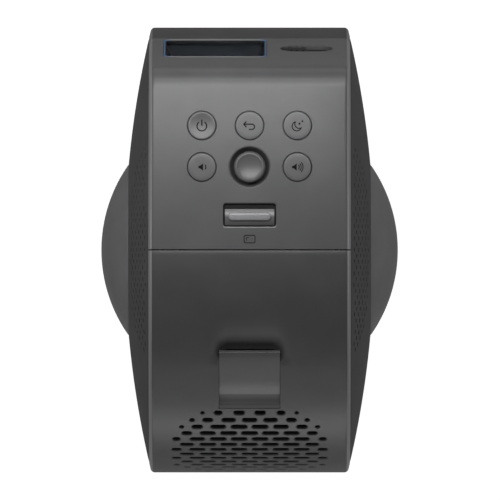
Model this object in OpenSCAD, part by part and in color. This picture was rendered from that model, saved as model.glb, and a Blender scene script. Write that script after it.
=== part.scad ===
// Portable video projector: a round body that rolls in a low cradle base.
// Millimetres. Z is up, the lens looks toward -Y, X runs across the body.
// A place on the body is given by its angle round the body axis:
// 0 is the front, 90 the top, 180 the rear and 270 the bottom.

/* [Body] */
// radius of the round body
body_r = 107; // [104:0.5:110]
// half of the width of the flat middle band
band_half = 47.2; // [46:0.2:48.4]
// half of the width of the side shells at the axis, without the domes
shell_half = 60; // [58.5:0.5:62]
// radius of the round dome on each side
dome_r = 41.2; // [40:0.2:42.4]
// half of the width at the tips of the domes
dome_half = 71.3; // [68:0.3:74]
// wall thickness of the outer covers
wall = 2.5; // [2.2:0.1:2.8]
// how far the lens face leans back from upright in the rest pose, degrees
lens_lean = 12; // [11:0.5:13]
// body angle at which the lens face leaves the round outline
crease_deg = 18.5; // [17.5:0.5:19.5]
// rounding between the lens face and the control panel
brow_r = 11; // [9:0.5:13]
// gap that shows as a seam between two covers
seam = 0.4; // [0.3:0.05:0.5]
// depth of the covers' turned edge on the side shells
edge_depth = 5; // [4.4:0.2:5.4]

/* [Base] */
// gap between the body and the table
table_gap = 15; // [14:0.5:19]
// width of the base
base_w = 90; // [86:1:92]
// length of the base, front to rear
base_l = 128; // [122:1:134]
// height of the base
base_h = 33; // [31:0.5:34]
// corner radius of the base in plan
base_corner = 22; // [16:1:26]
// wall thickness of the base
base_wall = 3; // [2.6:0.2:3.4]
// running gap between the cradle pads and the body
pad_gap = 0.3; // [0.25:0.05:0.5]

/* [Lens face] */
// width of the lens window opening
window_w = 49; // [47:0.5:50]
// height of the lens window opening
window_h = 41.5; // [40:0.5:42]
// place of the lens window across the face
window_x = 16.5; // [16:0.5:17]
// distance of the window centre above the crease, along the face
window_up = 23.5; // [23:0.25:24.5]
// length of the slide switch recess
slider_l = 25; // [24:0.5:26]
// height of the slide switch recess
slider_h = 15; // [14:0.5:16]
// place of the slide switch recess across the face
slider_x = -27.2; // [-28:0.2:-26.4]
// travel of the slide switch knob
slider_travel = 9.2; // [8:0.2:9.6]

/* [Control panel] */
// radius of the key holes
key_hole_r = 7.1; // [6.8:0.1:7.4]
// running gap round each key
key_gap = 0.35; // [0.3:0.05:0.45]
// distance of the outer key columns from the middle
key_x = 22.75; // [22:0.25:23.5]
// distance of the front key row from the cover split
key_front = 59.25; // [59:0.25:61]
// distance of the joystick row from the cover split
key_rear = 39.5; // [39.5:0.25:41]
// press of a key
key_travel = 0.8; // [0.6:0.1:0.9]
// radius of the joystick recess at the panel
stick_recess_r = 10; // [9.8:0.1:10.4]
// radius of the joystick cap
stick_cap_r = 7.25; // [6.8:0.05:7.3]
// width of the release latch recess
latch_w = 25.3; // [24:0.25:27]
// length of the release latch recess, front to rear
latch_l = 11.2; // [10.8:0.1:11.8]
// distance of the latch recess middle from the cover split
latch_u = 16.65; // [16.3:0.1:17]

/* [Rear cover] */
// body angle of the rear cover's hinge
hinge_deg = 200; // [198:0.5:201]
// radius of the rear cover's hinge barrel
barrel_r = 4.2; // [4:0.1:4.5]
// radius of the rear cover's hinge pin
pin_r = 1.5; // [1.3:0.1:1.7]
// half of the width of the port door
door_half = 14.5; // [14:0.25:15]
// body angle of the port door's upper edge
door_top = 116.8; // [116:0.2:117.4]
// body angle of the port door's hinge
door_deg = 134.1; // [133.8:0.1:134.3]
// body angle of the first grille row
grille_deg = 136.7; // [136.6:0.05:137]
// angle between two grille rows
grille_step = 2.77; // [2.7:0.01:2.84]
// number of grille rows
grille_rows = 14; // [12:1:15]
// spacing of the grille slots along a row
grille_pitch = 10; // [9.5:0.1:10.5]
// length of the longest grille slots
grille_slot = 8.1; // [7.4:0.1:8.3]
// height of a grille slot
grille_h = 3.3; // [2.8:0.1:3.5]
// radius of the round grille field
grille_r = 42.6; // [40:0.2:43]

/* [Side vents] */
// radius of a side vent hole
vent_r = 1.2; // [1:0.05:1.35]
// spacing of the side vent holes
vent_pitch = 5.6; // [5.2:0.1:6]

/* [Inside] */
// radius of the lens barrel
lens_r = 18; // [17:0.25:18.5]
// teeth on the focus ring
ring_teeth = 36; // [36:1:36]
// teeth on the focus pinion
pinion_teeth = 12; // [12:1:12]
// body angle of the fan
fan_deg = 158; // [157:0.5:159]
// number of fan blades
fan_blades = 9; // [7:1:11]
// radius of a battery cell
cell_r = 9.1; // [8.8:0.05:9.2]
// length of a battery cell
cell_l = 65; // [60:1:66]
// bore of the tripod thread insert, radius
tripod_r = 2.65; // [2.5:0.05:2.7]

/* [Hidden] */
$fn = 96;
run = 0.3;
fit = 0.05;
seat = 0.1;
axis_h = body_r + table_gap;
crown_rise = shell_half - band_half;
crown_r = (body_r * body_r + crown_rise * crown_rise) / (2 * crown_rise);
rim_r = body_r - edge_depth;
dome_foot = crown_at(dome_r);
dome_rise = dome_half - dome_foot;
dome_ball = (dome_r * dome_r + dome_rise * dome_rise) / (2 * dome_rise);
face_n = [cos(lens_lean), sin(lens_lean)];
face_t = [-sin(lens_lean), cos(lens_lean)];
crease = polar(body_r, crease_deg);
face_d = crease[0] * face_n[0] + crease[1] * face_n[1];
brow_c = [(face_d - brow_r - (body_r - brow_r) * face_n[1]) / face_n[0], body_r - brow_r];
face_c = crease + window_up * face_t;
seam_deg = seam / 2 / body_r * 180 / PI;
saddle_r = body_r + 2;
pad_in = 36;
pad_out = 42;
pad_sink = 0.8;
pad_half = asin((base_l / 2 - 0.7 * base_corner) / saddle_r);
foot_h = 1.4;
plate_t = 2.6;
hinge_r = body_r - barrel_r;
hinge_half = 34;
hinge_swing = 65;
hinge_clear = barrel_r / cos(hinge_swing / 2) + run;
door_barrel = 1.6;
door_swing = 90;
door_clear = door_barrel / cos(door_swing / 2) + run;
door_axis_r = body_r - door_barrel;
door_pin_r = 0.8;
grille_mid = 155;
key_stem = 7.2;
socket_rise = 7.4;
inlet_drop = 8.6;
pocket = 1.9;
pocket_floor = 2.2;
latch_travel = 2.3;
inner_gap = 12;
inner_r = body_r - inner_gap;
fan_r = 0.3 * inner_r;
fan_half = fan_r + 1.5;
magnet_x = base_w / 2 - 9;
ring_in = 40.5;
ring_out = 42.5;
boss_r = inner_r - 5;
boss_angles = [42, 75, 103, 148, 222, 262, 298, 338];
gear_m = 1.2;
ring_pitch = gear_m * ring_teeth / 2;
pinion_pitch = gear_m * pinion_teeth / 2;
gear_gap = ring_pitch + pinion_pitch + 0.15;
hood_d = 24;
barrel_d = 40;
bench_y = -23;
cell_place = inner_r - cell_r - 1.9;
cell_step = 2 * asin((cell_r + 0.55) / cell_place);
cell_angles = [for (i = [-1.5:1.5]) 270 + i * cell_step];
tray_half = 2 * cell_step + 2.6;
shelf_drop = 0.6 * inner_r;
shelf_half = sqrt(inner_r * inner_r - shelf_drop * shelf_drop) - 4;
sink_r = inner_r - 47;
laser_back = 92;
pipe_from = face_c - (laser_back + 1) * face_n;
pipe_to = polar(sink_r - 1.8, fan_deg) + 4 * polar(1, fan_deg - 90);
pipe_run = pipe_to - pipe_from;

// Places and frames

function polar(r, b) = [r * cos(b), r * sin(b)];
function crown_at(r) = shell_half - crown_r + sqrt(crown_r * crown_r - r * r);
function grille_arc(i) = (grille_deg + i * grille_step - grille_mid) * PI / 180 * body_r;
function grille_half(i) = sqrt(max(0, grille_r * grille_r - grille_arc(i) * grille_arc(i)));
function slot_length(d) = d < 21.7 ? grille_slot : grille_slot - 6 * pow((d - 21.7) / 20.2, 2);

// the body axis
module at_axis() translate([0, 0, axis_h]) children();

// a side profile, drawn as forward and up from the axis, run across the body
module across(w) rotate([90, 0, -90]) linear_extrude(w, center = true) children();

// a side profile run across both edges of the body, from one distance off the middle to another
module both_edges(near, far)
  for (s = [-1, 1])
    translate([s * (near + far) / 2, 0, 0])
      across(far - near) children();

// a profile of radius and distance along +X, turned round the body axis
module round_axis() rotate([0, 90, 0]) rotate_extrude() children();

// a place on the round outline: Z outward, Y toward the next larger angle
module on_rim(b, r = 0) rotate([90 - b, 0, 0]) translate([0, 0, r]) children();

// the lens face: Z outward, Y up the face
module on_face(x) translate([x, -face_c[0], face_c[1]]) rotate([90 - lens_lean, 0, 0]) children();

// the control panel, u forward of the cover split
module on_panel(x, u) translate([x, -u, body_r]) children();

module both_sides() {
  children();
  mirror([1, 0, 0]) children();
}

module sector(b0, b1)
  polygon(concat([[0, 0]], [for (i = [0:4]) polar(3 * body_r, b0 + (b1 - b0) * i / 4)]));

module ring(outer, inner) difference() {
  circle(outer);
  circle(inner);
}

module rounded(w, h, r) {
  square([w - 2 * r, h], center = true);
  square([w, h - 2 * r], center = true);
  for (x = [-1, 1], y = [-1, 1])
    translate([x * (w / 2 - r), y * (h / 2 - r)])
      circle(r);
}

module stadium(l, h) {
  if (l > h)
    square([l - h, h], center = true);
  for (s = [-1, 1])
    translate([s * max(0, l - h) / 2, 0])
      circle(h / 2);
}

module tube(outer, inner, h) linear_extrude(h) ring(outer, inner);

// Outer covers

// the side outline of the body, inset by t
module outline(t) {
  circle(body_r - t);
  polygon([
    [0, 0], crease - t * face_n, brow_c + (brow_r - t) * face_n, brow_c,
    brow_c + [0, brow_r - t], [0, body_r - t]
  ]);
  translate(brow_c)
    circle(brow_r - t);
}

// everything inside the flat band and the crowned sides
module body_sides() {
  cube([2 * band_half, 4 * body_r, 4 * body_r], center = true);
  both_sides()
    round_axis()
      intersection() {
        crown(0);
        square([body_r + 1, shell_half]);
      }
}

module crown(t) translate([0, shell_half - crown_r]) circle(crown_r - t, $fn = 180);

// a length of the middle band with its turned edges
module band_piece(b0, b1) intersection() {
  union() {
    across(2 * band_half + 3)
      intersection() {
        difference() {
          outline(0);
          outline(wall);
        }
        sector(b0, b1);
      }
    both_edges(band_half - wall, band_half + 1.5)
      intersection() {
        difference() {
          outline(0);
          circle(rim_r + seam);
        }
        sector(b0, b1);
      }
  }
  body_sides();
}

module side_shell() difference() {
  union() {
    round_axis()
      intersection() {
        difference() {
          crown(0);
          difference() {
            crown(wall);
            translate([rim_r - wall, 0])
              square([wall + 1, shell_half]);
          }
        }
        translate([dome_r, ring_out + 0.6])
          square([rim_r - dome_r, shell_half]);
      }
    intersection() {
      for (b = boss_angles)
        on_rim(b, boss_r)
          rotate([0, 90, 0])
            translate([0, 0, ring_out + seat])
              cylinder(r = 3.4, h = 10);
      round_axis()
        intersection() {
          crown(wall / 2);
          square([rim_r, shell_half]);
        }
    }
  }
  for (b = boss_angles)
    on_rim(b, boss_r)
      rotate([0, 90, 0])
        translate([0, 0, ring_out - 1])
          cylinder(r = 1.25, h = 5.5);
  side_vents();
}

// staggered holes over the upper part of a side shell
module side_vents()
  for (i = [0:8], k = [-9:9]) {
    w = dome_r + 12.8 + i * vent_pitch * 0.9;
    u = (k + (i % 2) / 2) * vent_pitch;
    r = norm([u, w]);
    if (r > dome_r + 8.8 && r < rim_r - 6 && abs(u) < 0.62 * w)
      translate([0, -u, w])
        rotate([0, 90, 0])
          translate([0, 0, band_half])
            cylinder(r = vent_r, h = shell_half);
  }

module left_shell() color("#3a3b3d") at_axis() side_shell();

module right_shell() color("#3a3b3d") at_axis() mirror([1, 0, 0]) side_shell();

module dome() round_axis() {
  difference() {
    intersection() {
      translate([0, dome_half - dome_ball])
        circle(dome_ball, $fn = 180);
      translate([0, dome_foot])
        square([dome_r - seat, shell_half]);
    }
    translate([0, dome_half - dome_ball])
      circle(dome_ball - wall, $fn = 180);
  }
  translate([dome_r - seat - wall, dome_foot - 6])
    square([wall, 6.6]);
}

module left_dome() color("#55565a") at_axis() dome();

module right_dome() color("#55565a") at_axis() mirror([1, 0, 0]) dome();

module top_cover() color("#5d5e61") at_axis() difference() {
  union() {
    band_piece(crease_deg + seam_deg, 90 - seam_deg);
    on_panel(0, key_rear)
      translate([0, 0, -8.2])
        cylinder(r = stick_recess_r + 1.4, h = 8.2 - wall / 2);
    on_panel(0, latch_u)
      translate([0, 0, -pocket - pocket_floor])
        linear_extrude(pocket + pocket_floor - wall / 2)
          rounded(latch_w + 4, latch_l + 4, 3);
    on_face(slider_x)
      translate([0, 0, -pocket - 0.5 - pocket_floor])
        linear_extrude(pocket_floor + pocket + 0.5 - wall / 2)
          stadium(slider_l + 4, slider_h + 4);
  }
  for (x = [-key_x, 0, key_x])
    on_panel(x, key_front)
      cylinder(r = key_hole_r, h = 20, center = true);
  for (x = [-key_x, key_x])
    on_panel(x, key_rear)
      cylinder(r = key_hole_r, h = 20, center = true);
  on_panel(0, key_rear) {
    translate([0, 0, -6.2])
      cylinder(r1 = stick_recess_r - 1.4, r2 = stick_recess_r, h = 6.21);
    cylinder(r = stick_recess_r, h = 4);
    cylinder(r = 5.6, h = 20, center = true);
  }
  on_panel(0, latch_u) {
    translate([0, 0, -pocket])
      linear_extrude(pocket + 1)
        rounded(latch_w, latch_l, 2);
    translate([0, -(latch_rest_u() + latch_travel / 2 - latch_u), -pocket - 4])
      linear_extrude(8)
        square([8 + 2 * run, 3 + 2 * run + latch_travel], center = true);
  }
  on_face(window_x)
    linear_extrude(20, center = true)
      rounded(window_w, window_h, 4);
  on_face(slider_x) {
    translate([0, 0, -pocket - 0.5])
      linear_extrude(8)
        stadium(slider_l, slider_h);
    linear_extrude(20, center = true)
      stadium(4 + 2 * run + slider_travel, 3 + 2 * run);
  }
}

module bottom_band() color("#4b4c4f") at_axis() {
  difference() {
    band_piece(hinge_deg, 360 + crease_deg - seam_deg);
    on_rim(hinge_deg, hinge_r)
      rotate([0, 90, 0])
        cylinder(r = hinge_clear, h = 4 * band_half, center = true);
  }
  // lugs that carry the rear cover's pin
  difference() {
    both_edges(hinge_half + run + seat, hinge_half + 6)
      hinge_lug();
    on_rim(hinge_deg, hinge_r)
      rotate([0, 90, 0])
        cylinder(r = pin_r, h = 4 * band_half, center = true);
  }
}

// side profile of a pin lug, grown from the inside of the bottom band
module hinge_lug() {
  translate(polar(hinge_r, hinge_deg))
    circle(barrel_r - seat);
  intersection() {
    ring(hinge_r, hinge_r - barrel_r + seat);
    sector(hinge_deg, hinge_deg + 7);
  }
  intersection() {
    ring(body_r - wall / 2, hinge_r - barrel_r + seat);
    sector(hinge_deg + 3.2, hinge_deg + 7);
  }
}

module chassis() color("#26282c") at_axis() {
  difference() {
    union() {
      both_edges(ring_in, ring_out)
        ring(inner_r + 1.5, inner_r - 8);
      // cross bars and the shelf for the main board
      across(2 * ring_in + 0.2) {
        for (b = [6, 80, 228, 318])
          translate(polar(inner_r - 2.5, b))
            circle(2.5);
        translate([-shelf_half, -shelf_drop])
          square([2 * shelf_half, 2.4]);
      }
      // optical bench and the posts that carry it
      on_face(0)
        translate([-37, bench_y, -94])
          cube([74, 2.8, 46.5]);
      translate([window_x, 0, 0])
        across(16)
          for (back = [89.5, 55.5])
            bench_post(face_c[0] - back);
    }
    for (b = boss_angles)
      on_rim(b, boss_r)
        rotate([0, 90, 0])
          cylinder(r = 1.5, h = 4 * band_half, center = true);
  }
}

// a post from the shelf up into the leaning bench, its middle at u
module bench_post(u)
  polygon([
    [u - 3, 1 - shelf_drop], [u + 3, 1 - shelf_drop], [u + 3, bench_at(u + 3)], [u - 3, bench_at(u - 3)]
  ]);

// height of the bench's middle at u
function bench_at(u) =
  face_c[1] + (bench_y + 1.4) * face_n[0]
  + (u - face_c[0] + (bench_y + 1.4) * face_n[1]) * tan(lens_lean);

// curved wall under the rear cover, with the port opening and the fan's air duct
module rear_wall() color("#26282c") at_axis() difference() {
  union() {
    across(2 * ring_in - 2 * seat)
      intersection() {
        ring(inner_r, inner_r - 2);
        sector(92, 191);
      }
    on_rim(fan_deg, inner_r - 7.8)
      tube(fan_r + 2, fan_r, 6.2);
  }
  on_rim(fan_deg, inner_r - 10)
    cylinder(r = fan_r, h = 20);
  on_rim(126, inner_r - 10)
    linear_extrude(20)
      square([27, 27], center = true);
}

module rim_hoops() color("#8a8d91") at_axis()
  both_edges(ring_out + 0.6, crown_at(rim_r) - wall - run)
    ring(rim_r - wall - seat, rim_r - wall - 1.7);

module shell_screws() color("#b9bcc0") at_axis()
  both_sides()
    for (b = boss_angles)
      on_rim(b, boss_r)
        rotate([0, 90, 0])
          translate([0, 0, ring_in]) {
            translate([0, 0, -1.8])
              cylinder(r = 2.8, h = 1.8);
            cylinder(r = 1.25, h = 6);
          }

// Lens face and optics

module window_trim() color("#c6cbd2") at_axis() on_face(window_x)
  translate([0, 0, -wall])
    linear_extrude(wall + 0.25)
      difference() {
        rounded(window_w - 2 * seat, window_h - 2 * seat, 3.9);
        rounded(window_w - 1.6, window_h - 1.6, 3.2);
      }

module lens_window() color("#8fa3ad") at_axis() on_face(window_x)
  translate([0, 0, -2.1])
    linear_extrude(1.4)
      rounded(window_w - 1.6 - 2 * seat, window_h - 1.6 - 2 * seat, 3.1);

module lens_hood() color("#1b1c1f") at_axis() on_face(window_x)
  difference() {
    union() {
      translate([0, 0, -wall - seat - 1.5])
        linear_extrude(1.5)
          rounded(window_w + 4, window_h + 3.4, 5);
      hood_cone(1.5);
    }
    translate([0, 0, 0.1])
      hood_cone(0);
    translate([0, 0, -wall - seat - 0.5])
      linear_extrude(1)
        square([window_w - 2, window_h - 2], center = true);
    translate([0, 0, -hood_d - 1])
      linear_extrude(2)
        square(27, center = true);
  }

// rectangular funnel from the window down to the lens, thicker by t all round
module hood_cone(t) intersection() {
  rotate([90, 0, 0])
    linear_extrude(2 * window_h, center = true)
      hood_profile(window_w / 2 - 1 + t, 13.5 + t);
  rotate([90, 0, 90])
    linear_extrude(2 * window_w, center = true)
      hood_profile(window_h / 2 - 1 + t, 13.5 + t);
}

module hood_profile(wide, narrow)
  polygon([
    [-wide, -wall - seat], [wide, -wall - seat], [narrow, -hood_d], [-narrow, -hood_d]
  ]);

module lens_barrel() color("#1f2023") at_axis() on_face(window_x)
  difference() {
    union() {
      translate([0, 0, -hood_d - seat - barrel_d])
        cylinder(r = lens_r, h = barrel_d);
      translate([0, 0, -hood_d - seat - 3])
        cylinder(r = lens_r + 4, h = 3);
      translate([0, 0, -hood_d - seat - barrel_d])
        cylinder(r = lens_r + 2, h = 6);
      translate([-8, -20.1, -hood_d - seat - barrel_d])
        cube([16, 8, 6]);
    }
    translate([0, 0, -hood_d - barrel_d - 1])
      cylinder(r = lens_r - 5, h = barrel_d + 3);
    translate([0, 0, -hood_d - seat - 8])
      cylinder(r = lens_r - 2.5, h = 10);
    translate([0, 0, -hood_d - seat - barrel_d - 1])
      cylinder(r = lens_r - 2.5, h = 9);
  }

module lens_elements() color("#a9c3cf") at_axis() on_face(window_x)
  for (z = [-hood_d - seat - 5.4, -hood_d - seat - barrel_d + 5.4])
    translate([0, 0, z])
      rotate_extrude($fn = 180)
        intersection() {
          translate([0, -2.6])
            square([lens_r - 2.5 - seat, 5.2]);
          translate([0, 57.4])
            circle(60, $fn = 360);
          translate([0, -57.4])
            circle(60, $fn = 360);
        }

// a toothed disc; the teeth are cut narrow so that two of them run free
module gear(teeth, pitch_r) {
  circle(pitch_r - 1.4);
  for (i = [0:teeth - 1])
    rotate(i * 360 / teeth)
      polygon([
        [pitch_r - 2, -1.0], [pitch_r, -0.72], [pitch_r + 0.85, -0.36],
        [pitch_r + 0.85, 0.36], [pitch_r, 0.72], [pitch_r - 2, 1.0]
      ]);
}

module focus_ring() color("#7d8187") at_axis() on_face(window_x)
  translate([0, 0, -hood_d - 22])
    linear_extrude(8)
      difference() {
        gear(ring_teeth, ring_pitch);
        circle(lens_r + fit);
      }

module focus_pinion() color("#d8c9a0") at_axis() on_face(window_x)
  translate([0, gear_gap, -hood_d - 22]) {
    linear_extrude(8)
      difference() {
        rotate(pinion_teeth % 2 == 0 ? 90 + 180 / pinion_teeth : 90)
          gear(pinion_teeth, pinion_pitch);
        circle(1.5);
      }
    translate([0, 0, -8])
      cylinder(r = 1.5, h = 16.5);
  }

module focus_motor() color("#8f9297") at_axis() on_face(window_x)
  translate([0, gear_gap, -hood_d - 22 - run]) {
    difference() {
      translate([0, 0, -16])
        cylinder(r = 7.5, h = 16);
      translate([0, 0, -9])
        cylinder(r = 1.5 + fit, h = 10);
    }
    translate([-5, -gear_gap + lens_r + 2 + seat, -16])
      cube([10, gear_gap - lens_r - 7, 5]);
  }

module optical_engine() color("#6f7377") at_axis() on_face(window_x)
  translate([0, 0, -hood_d - barrel_d - 2 * seat]) {
    difference() {
      translate([-20.5, -20.1, -28])
        cube([41, 40, 28]);
      translate([0, 0, -4])
        cylinder(r = lens_r - 4, h = 5);
    }
    translate([-18, -16, -30.4])
      cube([36, 32, 2.5]);
  }

module laser_module() color("#7a5f45") at_axis() on_face(window_x - 40) {
  difference() {
    translate([-12.5, -20.1, -laser_back])
      cube([25, 38, 27]);
    translate([0, 0, -66.5])
      cylinder(r = 6, h = 4);
  }
  translate([-12.5, -20.1, -52])
    cube([25, 30, 8]);
  difference() {
    translate([0, 0, -56])
      cylinder(r = 8, h = 5);
    translate([0, 0, -57])
      cylinder(r = 1.5 + fit, h = 5);
  }
}

module phosphor_wheel() color("#d9c64a") at_axis() on_face(window_x - 40) {
  translate([0, 0, -61])
    cylinder(r = 15, h = 1.2);
  translate([0, 0, -59.9])
    cylinder(r = 6, h = 3.5);
  translate([0, 0, -57])
    cylinder(r = 1.5, h = 4.6);
}

module heat_sink() color("#9a9da1") at_axis() on_rim(fan_deg, sink_r) {
  translate([-25, -25, 0])
    cube([50, 50, 5]);
  for (i = [0:9])
    translate([-24.6 + i * 5.3, -25, 4.9])
      cube([1.5, 50, 18.9]);
}

// two straight pipes from the laser block to the heat sink
module heat_pipes() color("#b87345") at_axis()
  for (x = [-14.5, -21.5])
    translate([x, -pipe_from[0], pipe_from[1]])
      rotate([90 - atan2(pipe_run[1], pipe_run[0]), 0, 0])
        difference() {
          cylinder(r = 2.5, h = norm(pipe_run));
          translate([0, 0, 2])
            cylinder(r = 1.8, h = norm(pipe_run) - 4);
        }

module fan_frame() color("#202226") at_axis() on_rim(fan_deg, inner_r - 23) {
  difference() {
    linear_extrude(15)
      rounded(2 * fan_half, 2 * fan_half, 6);
    translate([0, 0, -1])
      cylinder(r = fan_r, h = 20);
  }
  difference() {
    union() {
      cylinder(r = 10, h = 2.6);
      for (a = [45, 135, 225, 315])
        rotate(a)
          translate([8, -2, 0])
            cube([fan_r - 6, 4, 2.2]);
      cylinder(r = 4, h = 6);
    }
    translate([0, 0, 1])
      cylinder(r = 1.5 + fit, h = 10);
  }
}

module fan_rotor() color("#3b3e43") at_axis() on_rim(fan_deg, inner_r - 23) {
  difference() {
    translate([0, 0, 3.2])
      cylinder(r = 11, h = 10.8);
    translate([0, 0, 3])
      cylinder(r = 8, h = 8);
  }
  translate([0, 0, 1.5])
    cylinder(r = 1.5, h = 11);
  intersection() {
    for (i = [0:fan_blades - 1])
      rotate(i * 360 / fan_blades)
        translate([10.5, 0, 8.6])
          rotate([38, 0, 0])
            translate([0, -7, -0.6])
              cube([fan_r - 11.5, 14, 1.2]);
    translate([0, 0, 3.4])
      cylinder(r = fan_r - 0.8, h = 10.4);
  }
}

// Boards, ports and power

// hangs under the shelf, parts downward
module main_board() color("#1f5a3a") at_axis() translate([0, 0, -shelf_drop - seat]) mirror([0, 0, 1]) {
  translate([-34, -62, 0])
    cube([68, 124, 1.6]);
  translate([-26, -50, 1.6])
    cube([26, 34, 4]);
  translate([-28, 8, 1.6])
    cube([22, 22, 3]);
  translate([-30, 40, 1.6])
    cube([30, 14, 7]);
  for (i = [0:4])
    translate([30, 8 + i * 9, 1.6])
      cylinder(r = 3.4, h = 8);
}

module port_plate() color("#2c2e32") at_axis() on_rim(126, inner_r - 5.2)
  linear_extrude(1.6)
    difference() {
      square([33, 29], center = true);
      translate([0, socket_rise])
        square([15.4, 6.4], center = true);
      translate([0, -1])
        square([10, 4.2], center = true);
      translate([0, -inlet_drop])
        circle(4.6);
    }

// the picture socket above the small data socket
module av_ports() color("#b4b8bd") at_axis() on_rim(126, inner_r - 17) {
  translate([0, socket_rise, 0])
    difference() {
      translate([-7.6, -3.1, 0])
        cube([15.2, 6.2, 13.8]);
      translate([-7, -2.4, 3])
        cube([14, 4.8, 12]);
      translate([0, 0, 0])
        cube([12, 1.2, 2], center = true);
    }
  translate([0, -1, 0])
    difference() {
      translate([-4.9, -2, 0])
        cube([9.8, 4, 13.8]);
      translate([-4.4, -1.5, 4])
        cube([8.8, 3, 12]);
    }
}

module dc_jack() color("#17181a") at_axis() on_rim(126, inner_r - 17)
  translate([0, -inlet_drop, 0])
    difference() {
      cylinder(r = 4.5, h = 14);
      translate([0, 0, 4])
        cylinder(r = 2.9, h = 12);
    }

// streaming stick stowed under the rear cover
module media_stick() color("#2a2b30") at_axis() on_rim(103, inner_r + 0.3)
  difference() {
    linear_extrude(6.6)
      rounded(76, 24, 5);
    translate([0, 0, 6])
      linear_extrude(2)
        stadium(20, 5);
  }

module key_board() color("#1f5a3a") at_axis() on_panel(0, 0)
  translate([0, 0, -12.2])
    linear_extrude(1.6)
      difference() {
        translate([0, -(key_front + key_rear) / 2])
          square([2 * key_x + 20, key_front - key_rear + 22], center = true);
        translate([0, -key_rear])
          circle(9.7);
      }

module key_switches() color("#9fa3a8") at_axis() {
  for (x = [-key_x, 0, key_x])
    on_panel(x, key_front)
      tact_switch();
  for (x = [-key_x, key_x])
    on_panel(x, key_rear)
      tact_switch();
}

module tact_switch() {
  translate([-3, -3, -10.6])
    cube([6, 6, 1.7]);
  translate([0, 0, -9])
    cylinder(r = 1.7, h = 9 - key_stem - key_travel - 0.2);
}

module battery_cells() color("#3f6fa5") at_axis()
  for (b = cell_angles)
    across(cell_l)
      translate(polar(cell_place, b))
        circle(cell_r);

module battery_tray() color("#303236") at_axis() {
  across(2 * ring_in - 2 * seat)
    intersection() {
      ring(inner_r - 0.2, inner_r - 1.7);
      sector(270 - tray_half, 270 + tray_half);
    }
  both_edges(cell_l / 2 + seat, cell_l / 2 + 2.4)
    intersection() {
      ring(inner_r - 0.5, cell_place - 8);
      sector(271 - tray_half, 269 + tray_half);
    }
}

module speaker_drivers() color("#2e3034") at_axis()
  both_sides()
    round_axis() {
      // flange under the dome, basket and magnet
      translate([32, dome_foot - 8.4])
        square([dome_r - seat - 32, 2.4]);
      translate([32, dome_foot - 18])
        square([2, 10]);
      translate([10, dome_foot - 20])
        square([24, 2.2]);
      difference() {
        translate([0, dome_foot - 24])
          square([16, 6]);
        translate([6, dome_foot - 20])
          square([2, 4]);
      }
    }

module speaker_cones() color("#77797e") at_axis()
  both_sides()
    round_axis() {
      polygon([
        [0, dome_foot - 16.6], [9, dome_foot - 16.6], [31.9, dome_foot - 9.4],
        [31.9, dome_foot - 8.4], [9, dome_foot - 15.4], [0, dome_foot - 15.4]
      ]);
      translate([6.2, dome_foot - 19.5])
        square([1.6, 3.5]);
    }

// Keys, joystick, latch and slide switch

module key_blank(x, u) on_panel(x, u) {
  translate([0, 0, -3.2])
    cylinder(r = key_hole_r - key_gap, h = 3.1);
  translate([0, 0, -wall - 1.35])
    cylinder(r = key_hole_r + 1, h = 1.2);
  translate([0, 0, -key_stem])
    cylinder(r = 2, h = key_stem - 2.2);
}

module power_key() color("#606164") at_axis() difference() {
  key_blank(key_x, key_front);
  on_panel(key_x, key_front)
    translate([0, 0, 24.2])
      sphere(r = 25);
}

module back_key() color("#606164") at_axis() key_blank(0, key_front);

module sleep_key() color("#606164") at_axis() key_blank(-key_x, key_front);

module volume_down_key() color("#606164") at_axis() key_blank(key_x, key_rear);

module volume_up_key() color("#606164") at_axis() key_blank(-key_x, key_rear);

// cup under the joystick recess that carries the gimbal pins
module joystick_housing() color("#26272a") at_axis() on_panel(0, key_rear)
  difference() {
    translate([0, 0, -16])
      tube(9.5, 7.9, 7.7);
    translate([0, 0, -12])
      rotate([0, 90, 0])
        cylinder(r = 1 + fit, h = 30, center = true);
  }

module joystick_gimbal() color("#a5a8ac") at_axis() on_panel(0, key_rear)
  difference() {
    union() {
      translate([0, 0, -13.4])
        tube(6.4, 4.4, 2.8);
      for (s = [-1, 1])
        translate([s * 7.6, 0, -12])
          rotate([0, 90, 0])
            cylinder(r = 1, h = 3.4, center = true);
    }
    translate([0, 0, -12])
      rotate([90, 0, 0])
        cylinder(r = 0.8 + fit, h = 20, center = true);
  }

module joystick_stem() color("#c9ccd0") at_axis() on_panel(0, key_rear) {
  translate([0, 0, -14.5])
    cylinder(r = 2.2, h = 11.9);
  translate([0, 0, -12])
    rotate([90, 0, 0])
      cylinder(r = 0.8, h = 11.6, center = true);
}

module joystick_cap() color("#4a4b4e") at_axis() on_panel(0, key_rear)
  difference() {
    union() {
      translate([0, 0, -3.4])
        cylinder(r = stick_cap_r, h = 4);
      translate([0, 0, -8])
        cylinder(r = 3.6, h = 5);
    }
    translate([0, 0, -9])
      cylinder(r = 2.2 + fit, h = 7.4);
    translate([0, 0, 20])
      sphere(r = 20.2);
  }

// forward distance of the latch stem in the rest pose
function latch_rest_u() = latch_u - latch_l / 2 + run + 4;

module release_latch() color("#6a6b6e") at_axis() on_panel(0, latch_rest_u()) {
  translate([0, 0, -pocket + run])
    linear_extrude(1)
      rounded(latch_w - 2.6, 8, 1.2);
  translate([0, -0.6, -pocket + run + 0.5])
    linear_extrude(pocket + 0.1)
      rounded(20.5, 3.7, 1.2);
  translate([-4, -1.5, -pocket - pocket_floor - 1])
    cube([8, 3, pocket_floor + 2]);
  // tongue that reaches back to the rear cover's catch
  translate([-7, -3.5, -pocket - pocket_floor - run - 1.6])
    cube([14, latch_rest_u() + 3.5 - 1, 1.6]);
}

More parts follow.
